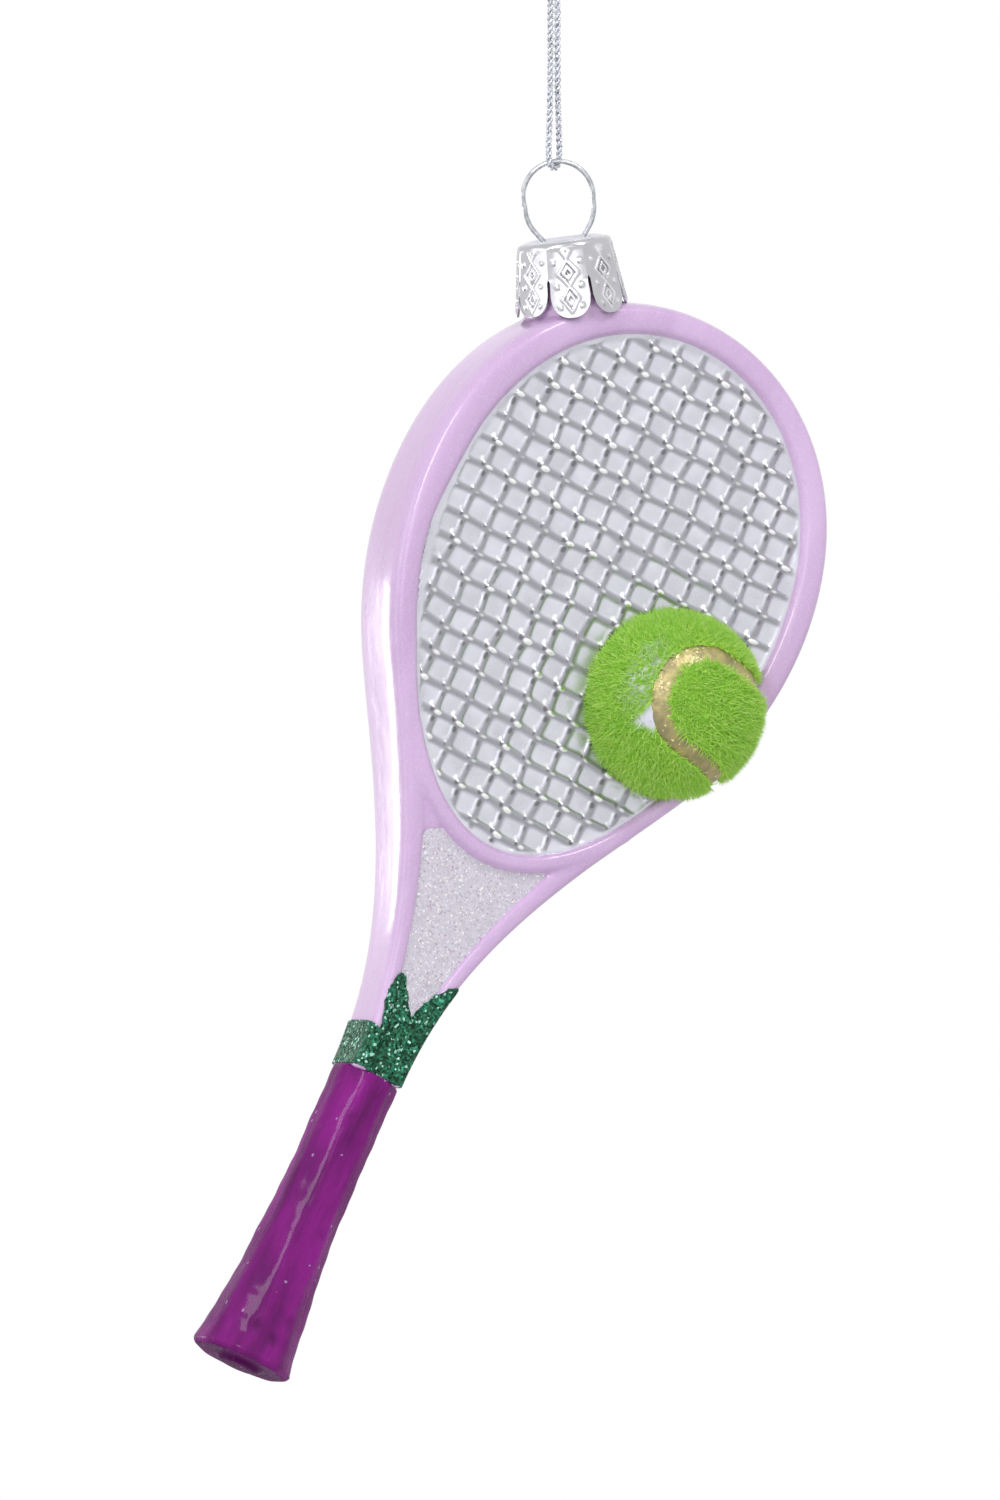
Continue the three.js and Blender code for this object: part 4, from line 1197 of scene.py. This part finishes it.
# The lap of lacquer that the brush left over the throat's upper left corner
CORNER_LAP = [
    (-12.5, -29.5), (-6.2, -32.6), (-5.6, -33.6), (-6.7, -33.9), (-7.3, -34.8), (-7.7, -36.4), (-10, -37.5),
]
# The collar's upper edge from the left side to the right one: the ring, two leaves and the notch between them
LEAVES = [
    (-9.0, -55.9), (-4.3, -55.75), (-3.3, -55.9), (-2.5, -56.3), (-2.45, -55.4), (-2.95, -53.8),
    (-3.25, -52.2), (-3.15, -50.7), (-2.75, -49.7), (-2.3, -49.45), (-1.75, -49.9), (-1.0, -51.0),
    (-0.2, -52.2), (0.75, -53.35), (1.15, -52.3), (1.7, -51.1), (2.4, -49.9), (3.2, -48.9),
    (4.1, -48.25), (4.6, -48.9), (4.4, -51.0), (4.2, -53.2), (4.3, -55.2), (5.0, -55.9), (9.0, -56.0),
]
LAP_REACH = (2.0, 9.0)
LAP_PROUD = 0.12
LACQUER_DEPTH = 0.6
# The hole for the glass reaches this far past the bed and stays this far inside the head's outline
GLASS_EDGE = 1.3
GLASS_FACE = 3.9
THROAT_BLOCK = (-20, 20, -62, -10)
THROAT_DEPTH = 9
GLITTER_PROUD = 0.02
BRIDGE_LAP = 0.5
COLLAR_HALF = 9
COLLAR_PROUD = 0.2
COLLAR_HIGH = -46
# Voxel size and rounds of smoothing that round off the coats' edges
LACQUER_SOFT = (0.28, 5)
COLLAR_SOFT = (0.14, 3)
FLOCK_HOLE = 9.9
FLOCK_HOLE_LOW = 2.4


def section(points, normals, inner, outer, half):
    """Rings with rounded corners that reach from inner to outer beside each point, and half each way in z."""
    angles = round_angles(SECTION_STEPS)
    c, s = np.cos(angles), np.sin(angles)
    across = 0.5 + 0.5 * np.sign(c) * np.sqrt(np.abs(c))
    up = np.sign(s) * np.sqrt(np.abs(s))
    return [
        np.column_stack([p + n * (low + (high - low) * across)[:, None], thick * up])
        for p, n, low, high, thick in zip(points, normals, inner, outer, half)
    ]


def frame_sweep(grow):
    """The frame's solid from one end of the shaft round the head to the other, grown all round."""
    rise = throat_points(30)[::-1][:-1]
    angles = np.radians(np.linspace(THROAT_ANGLE, -THROAT_ANGLE, 150))
    path = np.vstack([rise, egg(HEAD, angles), rise[::-1] * [-1, 1]])
    along = unit(np.gradient(path, axis=0))
    normals = np.stack([along[:, 1], -along[:, 0]], -1)
    bulge = WALL_BULGE * (1 - throat_share(path[:, 1]))
    half = half_thickness(path[:, 1]) + grow
    return loft("sweep", section(path, normals, -face_width(path) - grow, bulge + grow, half))


def bridge_sweep(grow):
    """The bridge's solid under the bed, grown all round."""
    angles = np.radians(180 + np.linspace(-BRIDGE_REACH, BRIDGE_REACH, 60))
    points = egg(BED, angles)
    normals = egg(BED, angles, 1.0) - points
    full = np.ones(len(points))
    half = HALF_HEAD - BRIDGE_SINK + grow
    return loft("bridge", section(points, normals, -grow * full, (BRIDGE_WIDTH + grow) * full, half * full))


def web_block(grow):
    """The throat's web between the frame's sides, thicker by grow on both faces."""
    points = throat_points(24)
    half = points[:, 0] - face_width(points) / 2
    height = half_thickness(points[:, 1]) - WEB_SINK + grow
    return loft("web", [
        np.array([(-w, y, -h), (w, y, -h), (w, y, h), (-w, y, h)]) for (_, y), w, h in zip(points, half, height)
    ])


def ball_hole():
    """The part of the lacquer that the ball covers."""
    angles = np.linspace(0.02, math.pi - 0.02, 40)
    profile = [(FLOCK_HOLE * math.sin(a), FLOCK_HOLE * math.cos(a)) for a in angles]
    ball = turned("tool", profile, RACKET @ Matrix.Translation(BALL_MIDDLE))
    return combine(ball, prism(rectangle(-40, 40, -60, 60), -12, FLOCK_HOLE_LOW))


def frame_lacquer():
    """The frame's lacquer, rounded where the brush left it, with the glass taken out of it."""
    lacquer = combine(frame_sweep(0), bridge_sweep(0), "UNION")
    combine(lacquer, turned("tool", FOOT_RING, neck_place()), "UNION")
    for side in (1, -1):
        lap = prism(np.array(CORNER_LAP) * [side, 1], *sorted(side * z for z in LAP_REACH))
        combine(lacquer, combine(web_block(LAP_PROUD), lap, "INTERSECT"), "UNION")
    soften(lacquer, *LACQUER_SOFT)
    for tool in (
        frame_sweep(-LACQUER_DEPTH), bridge_sweep(-LACQUER_DEPTH), web_block(-COAT),
        prism(egg_outline(BED, GLASS_EDGE), -GLASS_FACE, GLASS_FACE),
        prism(egg_outline(HEAD, -GLASS_EDGE), -GLASS_FACE, GLASS_FACE),
        turned("tool", FOOT_HOLE, neck_place()), ball_hole(),
    ):
        combine(lacquer, tool)
    lacquer.name = "lacquer"
    return edit_mesh(lacquer, keep_largest)


def throat_glitter(name, side):
    web = combine(web_block(GLITTER_PROUD), web_block(-COAT))
    near = prism(rectangle(*THROAT_BLOCK), *sorted((0, side * THROAT_DEPTH)))
    combine(web, near, "INTERSECT")
    combine(web, prism(egg_outline(BED, BRIDGE_WIDTH - BRIDGE_LAP), -20, 20))
    web.name = name
    return web


def leaf_outline():
    top = curve_through([(x, y, 0) for x, y in LEAVES], 5)[:, :2]
    wobble = 0.07 * np.sin(top[:, 1] * 4.1 + top[:, 0]) + 0.05 * np.sin(top[:, 1] * 9.7)
    inside = np.abs(top[:, 0]) < 5
    top[:, 0] += wobble * inside
    top[:, 1] += 0.06 * np.sin(top[:, 0] * 6.3) * inside
    x = np.linspace(COLLAR_HALF, -COLLAR_HALF, 60)
    low = GRIP_EDGE + 0.12 * np.sin(x * 2.1 + 1) + 0.06 * np.sin(x * 5.3)
    return np.vstack([top, np.column_stack([x, low])])


def leaf_collar():
    """A sleeve round the shaft's end, cut along the leaves' edge, with the glass taken out of it."""
    collar = combine(frame_sweep(COLLAR_PROUD), web_block(COLLAR_PROUD), "UNION")
    near = prism(rectangle(-COLLAR_HALF, COLLAR_HALF, -GRIP_TOP, COLLAR_HIGH), -COLLAR_HALF, COLLAR_HALF)
    combine(collar, near, "INTERSECT")
    soften(collar, *COLLAR_SOFT)
    combine(collar, prism(leaf_outline(), -COLLAR_HALF, COLLAR_HALF), "INTERSECT")
    for tool in (frame_sweep(-0.05), web_block(-0.05)):
        combine(collar, tool)
    collar.name = "collar"
    return collar


class ORNAMENT_OT_coats(bpy.types.Operator):
    """Makes the frame's lacquer, the throat's glitter on both faces and the leafy collar"""

    bl_idname = "ornament.coats"
    bl_label = "Coats"

    def execute(self, context):
        colours = context.scene.ornament_colours
        material = lacquer_finish(colours.frame)
        finish_piece(frame_lacquer(), "racket", ["frame_lacquer"], material, CUT_CREASE)
        material = pale_glitter_finish(colours.throat)
        for side, name in ((1, "front"), (-1, "back")):
            web = throat_glitter(f"throat_{name}", side)
            finish_piece(web, "racket", [f"throat_glitter_{name}"], material)
        material = green_glitter_finish(colours.collar)
        finish_piece(leaf_collar(), "racket", ["leaf_collar"], material, CUT_CREASE)
        return {"FINISHED"}


# Grip

GRIP_HALF = 3.66
BUTT_HALF = 5.6
BUTT_FLARE = 26
BUTT_ROUND = 0.8
GRIP_COLUMNS = 128
CORNER_SHARPNESS = 18
NUB_RADIUS = 2.5
# The nub's rings from its foot inwards, as (share of its radius, drop under the butt)
NUB_RINGS = ((1.12, 0.03), (1.03, 0.14), (0.98, 0.34), (0.9, 0.5), (0.72, 0.58), (0.4, 0.6), (0.12, 0.6))
# Each dent's middle, size and depth
DENTS = (
    (-1.9, -92.4, 5.2, 0.8, 0.3), (0.5, -93.2, 5.3, 0.7, 0.26), (1.5, -90.6, 5.0, 0.5, 0.16),
    (-1.2, -66.5, 3.6, 0.5, 0.1), (1.4, -80.2, 4.2, 0.6, 0.12), (-1.8, -78.0, 4.0, 0.6, 0.08),
)


def grip_half(y):
    flare = np.clip((-y - (GRIP_END - BUTT_FLARE)) / BUTT_FLARE, 0, 1)
    return float(GRIP_HALF + (BUTT_HALF - GRIP_HALF) * flare**2)


def octagon_reach(angle):
    """Radius of an eight-sided section with softened corners, for flats one unit from the middle."""
    total = sum(np.maximum(np.cos(angle - k * math.pi / 4), 0) ** CORNER_SHARPNESS for k in range(8))
    return total ** (-1 / CORNER_SHARPNESS)


def grip_rings():
    """The grip's rings from its top down the flare, round the butt's edge and over the nub under it."""
    angle = round_angles(GRIP_COLUMNS)
    reach = octagon_reach(angle)

    def ring(radius, y):
        return np.column_stack([np.cos(angle) * radius, np.full(GRIP_COLUMNS, y), np.sin(angle) * radius])

    top, low = GRIP_EDGE, -GRIP_END + BUTT_ROUND
    rings = [ring((grip_half(top) - COAT - 0.3) * reach, top - 0.4), ring((grip_half(top) - COAT) * reach, top)]
    for a in np.linspace(0, math.pi / 2, 5)[1:]:
        rings.append(ring((grip_half(top) - COAT * (1 - math.sin(a))) * reach, top - COAT * (1 - math.cos(a))))
    for y in np.linspace(top - 0.6, low, 90):
        bulge = 0.03 * math.sin(y * 0.9) + 0.021 * math.sin(y * 2.3 + 1)
        pinch = 0.07 * np.sin(angle * 3 + y * 0.35) + 0.06 * np.sin(angle * 5 - y * 0.5)
        rings.append(ring((grip_half(y) + bulge) * reach * (1 + pinch / 9), y))
    for a in np.linspace(0, math.pi / 2, 8)[1:]:
        rings.append(ring(BUTT_HALF * reach - BUTT_ROUND * (1 - math.cos(a)), low - BUTT_ROUND * math.sin(a)))
    for share in (0.9, 0.78, 0.66):
        rings.append(ring((BUTT_HALF - BUTT_ROUND) * share * reach, -GRIP_END - 0.02 * (1 - share)))
    return rings + [ring(NUB_RADIUS * share, -GRIP_END - drop) for share, drop in NUB_RINGS]


def dent(grip):
    """Dents the grip's face, and paints shade into the dents and under the butt."""
    points = local_points(grip)
    # Painted shade under the butt and in the dents, darker in deeper dents
    pool = 0.9 * smoothstep(points[:, 1], -GRIP_END + 0.2, -GRIP_END - 0.1)
    under = smoothstep(points[:, 1], -GRIP_END + 0.35, -GRIP_END + 0.02)
    for *middle, size, depth in DENTS:
        near = np.exp(-((points - middle) ** 2).sum(1) / size**2)
        points[:, 2] -= near * depth
        pool = np.maximum(pool, near * min(1, 3 * depth))
    paint(grip, pool=pool, under=under)
    grip.data.vertices.foreach_set("co", to_world(points, RACKET).astype(np.float32).ravel())
    grip.data.update()


class ORNAMENT_OT_grip(bpy.types.Operator):
    """Makes the eight-sided grip with its flared butt and the nub under it"""

    bl_idname = "ornament.grip"
    bl_label = "Grip"

    def execute(self, context):
        grip = loft("grip", grip_rings())
        dent(grip)
        material = grip_finish(context.scene.ornament_colours.grip)
        finish_piece(grip, "racket", ["grip_lacquer"], material, ROUND_CREASE)
        return {"FINISHED"}


# Ball

FLOCK_BASE = 10.1
BAND_RADIUS = 10.0
COAT_BACK = 9.7
DOME_LOW = 2.2
SEAM_RADIUS = 5.55
SEAM_WIDTH = 1.9
SEAM_SHIFT = (0.45, 0.35)
SEAM_TURN = -4
SEAM_ARM = 22
# Where the flock is worn off, and how far from the ball's middle and in which direction it stands thin
WORN_MIDDLE = (8.6, -11.9)
THIN_REACH = 7.2
THIN_BEARING = 2
FIBRE_SCALES = (0.6, 1.25)
LEAN_SEED = 11
SCALE_SEED = 12
TONE_SEED = 13


def dome(name, outer):
    """The ball's coat over the face, from its back to the outer radius."""
    def arc(radius, steps):
        low = math.acos((DOME_LOW - BALL_MIDDLE[2]) / radius)
        return [(radius * math.sin(a), radius * math.cos(a)) for a in np.linspace(0.01, low, steps)]

    place = RACKET @ Matrix.Translation(BALL_MIDDLE)
    return turned(name, arc(outer, 70) + arc(COAT_BACK, 40)[::-1], place, 160)


def seam_bay(radius):
    """A bay round the lobe of the ball, open to the right."""
    t = np.linspace(0, math.pi, 60)
    bow = np.stack([-radius * np.sin(t), radius * np.cos(t)], -1)
    upper = np.stack([np.linspace(SEAM_ARM, 0.6, 40), np.full(40, radius)], -1)
    outline = np.vstack([upper, bow, (upper * [1, -1])[::-1]])
    wobble = 0.05 * np.sin(outline[:, 0] * 3.3 + outline[:, 1]) + 0.04 * np.sin(outline[:, 1] * 5.1)
    outline *= (1 + wobble / radius)[:, None]
    a = math.radians(SEAM_TURN)
    spin = np.array([[math.cos(a), -math.sin(a)], [math.sin(a), math.cos(a)]])
    return prism(outline @ spin.T + BALL_MIDDLE[:2] + SEAM_SHIFT, 0, 20)


def random_number(tree, low, high, seed):
    inputs = {2: low, 3: high, "Seed": seed}
    return add(tree, "FunctionNodeRandomValue", inputs, data_type="FLOAT").outputs[1]


def store(tree, geometry, name, value, domain):
    inputs = {"Geometry": geometry, "Name": name, "Value": value}
    kind = "GeometryNodeStoreNamedAttribute"
    return add(tree, kind, inputs, data_type="FLOAT", domain=domain).outputs[0]


def flock_tree(material):
    """Stands tapered fibres on a surface, leaning at random, as thick as its flock attribute says."""
    tree, given, made = group_tree(
        "Flock Fibres", "GeometryNodeTree",
        {"Geometry": None, "Density": 2e7, "Fibre": 0.0008, "Thickness": 0.00008, "Lean": 0.8, "Seed": 4},
        {"Geometry": None},
    )
    share = add(tree, "GeometryNodeInputNamedAttribute", {"Name": "flock"}, data_type="FLOAT").outputs[0]
    density = maths(tree, "MULTIPLY", given["Density"], share)
    inputs = {"Mesh": given["Geometry"], "Density": density, "Seed": given["Seed"]}
    spots = add(tree, "GeometryNodeDistributePointsOnFaces", inputs).outputs
    inputs = {0: (-1.0, -1.0, -1.0), 1: (1.0, 1.0, 1.0), "Seed": LEAN_SEED}
    lean = add(tree, "FunctionNodeRandomValue", inputs, data_type="FLOAT_VECTOR").outputs[0]
    heading = vector_maths(tree, "ADD", vector_maths(tree, "SCALE", lean, given["Lean"]), spots["Normal"])
    spin = add(tree, "FunctionNodeAlignRotationToVector", {"Vector": heading}, axis="Z").outputs[0]
    inputs = {"Vertices": 3, "Radius Top": 0.0, "Radius Bottom": given["Thickness"], "Depth": given["Fibre"]}
    fibre = add(tree, "GeometryNodeMeshCone", inputs).outputs["Mesh"]
    where = add(tree, "GeometryNodeInputPosition").outputs[0]
    height = add(tree, "ShaderNodeSeparateXYZ", {0: where}).outputs[2]
    # Each fibre's height as a share, which the finish turns into painted shade at the root
    fibre = store(tree, fibre, "tip", maths(tree, "DIVIDE", height, given["Fibre"]), "POINT")
    scale = random_number(tree, *FIBRE_SCALES, SCALE_SEED)
    inputs = {"Points": spots["Points"], "Instance": fibre, "Rotation": spin, "Scale": scale}
    stood = add(tree, "GeometryNodeInstanceOnPoints", inputs).outputs[0]
    stood = store(tree, stood, "tone", random_number(tree, 0.0, 1.0, TONE_SEED), "INSTANCE")
    both = add(tree, "GeometryNodeJoinGeometry")
    for geometry in (given["Geometry"], stood):
        tree.links.new(geometry, both.inputs[0])
    return end_geometry(tree, made, both.outputs[0], material)


def thin_flock(points):
    """Where the flock is worn off beside the seam, and where it only stands thin."""
    x, y = (points[:, :2] - BALL_MIDDLE[:2]).T
    # The worn patch is a triangle with its point up, its right side along the seam
    right, up = (points[:, :2] - WORN_MIDDLE).T
    away = np.maximum(np.abs(right + 0.1 * up) / (0.62 - 0.28 * up), np.abs(up + 0.1) / 1.7)
    reach, bearing = np.hypot(x, y), np.degrees(np.arctan2(y, -x))
    near = 1 - smoothstep(np.abs(reach - THIN_REACH), 0.6, 1.5)
    beside = 1 - smoothstep(np.abs(bearing - THIN_BEARING), 20, 42)
    return 1 - smoothstep(away, 0.75, 1.2), near * beside * smoothstep(cell_chance(*points.T), 0.15, 0.5)


def grow_flock(piece, sizes, material, has_thin=False):
    """Marks where the flock stands, thins it beside the seam where has_thin, and grows the fibres."""
    points = local_points(piece)
    out = np.linalg.norm(points - BALL_MIDDLE, axis=1)
    stands = (out > FLOCK_BASE - 0.02) & (points[:, 2] > STRING_TOP - 0.5)
    worn, thin = thin_flock(points) if has_thin else (0 * out, 0 * out)
    flock = stands * (1 - 0.99 * worn) * (1 - 0.75 * thin)
    paint(piece, flock=flock, bare=stands * np.maximum(worn, 0.8 * thin))
    tree = bpy.data.node_groups.get("Flock Fibres") or flock_tree(material)
    return apply_tree(piece, tree, {"Density": sizes.fibres, "Fibre": sizes.fibre})


class ORNAMENT_OT_ball(bpy.types.Operator):
    """Makes the ball's flock, the lobe inside its seam and the painted seam"""

    bl_idname = "ornament.ball"
    bl_label = "Ball"

    def execute(self, context):
        colours, sizes = context.scene.ornament_colours, context.scene.ornament_sizes
        outer, inner = SEAM_RADIUS + SEAM_WIDTH / 2, SEAM_RADIUS - SEAM_WIDTH / 2
        material = flock_finish(colours.flock)
        flock = combine(dome("ball_coat", FLOCK_BASE), seam_bay(outer))
        grow_flock(flock, sizes, material, True)
        finish_piece(flock, "racket", ["ball_flock"], material)
        lobe = combine(dome("ball_lobe", FLOCK_BASE), seam_bay(inner), "INTERSECT")
        grow_flock(lobe, sizes, material)
        finish_piece(lobe, "racket", ["ball_flock_lobe"], material)
        band = combine(dome("ball_band", BAND_RADIUS), seam_bay(outer), "INTERSECT")
        combine(band, seam_bay(inner))
        finish_piece(band, "racket", ["ball_seam"], gold_finish(colours.seam))
        return {"FINISHED"}


# Panel and registering


class ORNAMENT_PT_panel(bpy.types.Panel):
    """Lists the ornament's pieces and their sizes and colours"""

    bl_idname = "ORNAMENT_PT_panel"
    bl_label = "Tennis Racket Ornament"
    bl_space_type = "VIEW_3D"
    bl_region_type = "UI"
    bl_category = "Ornament"

    def draw(self, context):
        for operator in OPERATORS:
            self.layout.operator(operator.bl_idname)
        for group in (context.scene.ornament_sizes, context.scene.ornament_colours):
            for name in group.__annotations__:
                self.layout.prop(group, name)


OPERATORS = (
    ORNAMENT_OT_stage, ORNAMENT_OT_cord, ORNAMENT_OT_loop, ORNAMENT_OT_cap, ORNAMENT_OT_glass,
    ORNAMENT_OT_coats, ORNAMENT_OT_grip, ORNAMENT_OT_ball,
)
CLASSES = (OrnamentSizes, OrnamentColours, *OPERATORS, ORNAMENT_PT_panel)


def register():
    for cls in CLASSES:
        bpy.utils.register_class(cls)
    bpy.types.Scene.ornament_sizes = bpy.props.PointerProperty(type=OrnamentSizes)
    bpy.types.Scene.ornament_colours = bpy.props.PointerProperty(type=OrnamentColours)


def unregister():
    del bpy.types.Scene.ornament_sizes
    del bpy.types.Scene.ornament_colours
    for cls in reversed(CLASSES):
        bpy.utils.unregister_class(cls)


def main():
    register()
    bpy.ops.ornament.stage()
    bpy.ops.ornament.cord()
    bpy.ops.ornament.loop()
    bpy.ops.ornament.cap()
    bpy.ops.ornament.glass()
    bpy.ops.ornament.coats()
    bpy.ops.ornament.grip()
    bpy.ops.ornament.ball()


if __name__ == "__main__":
    main()
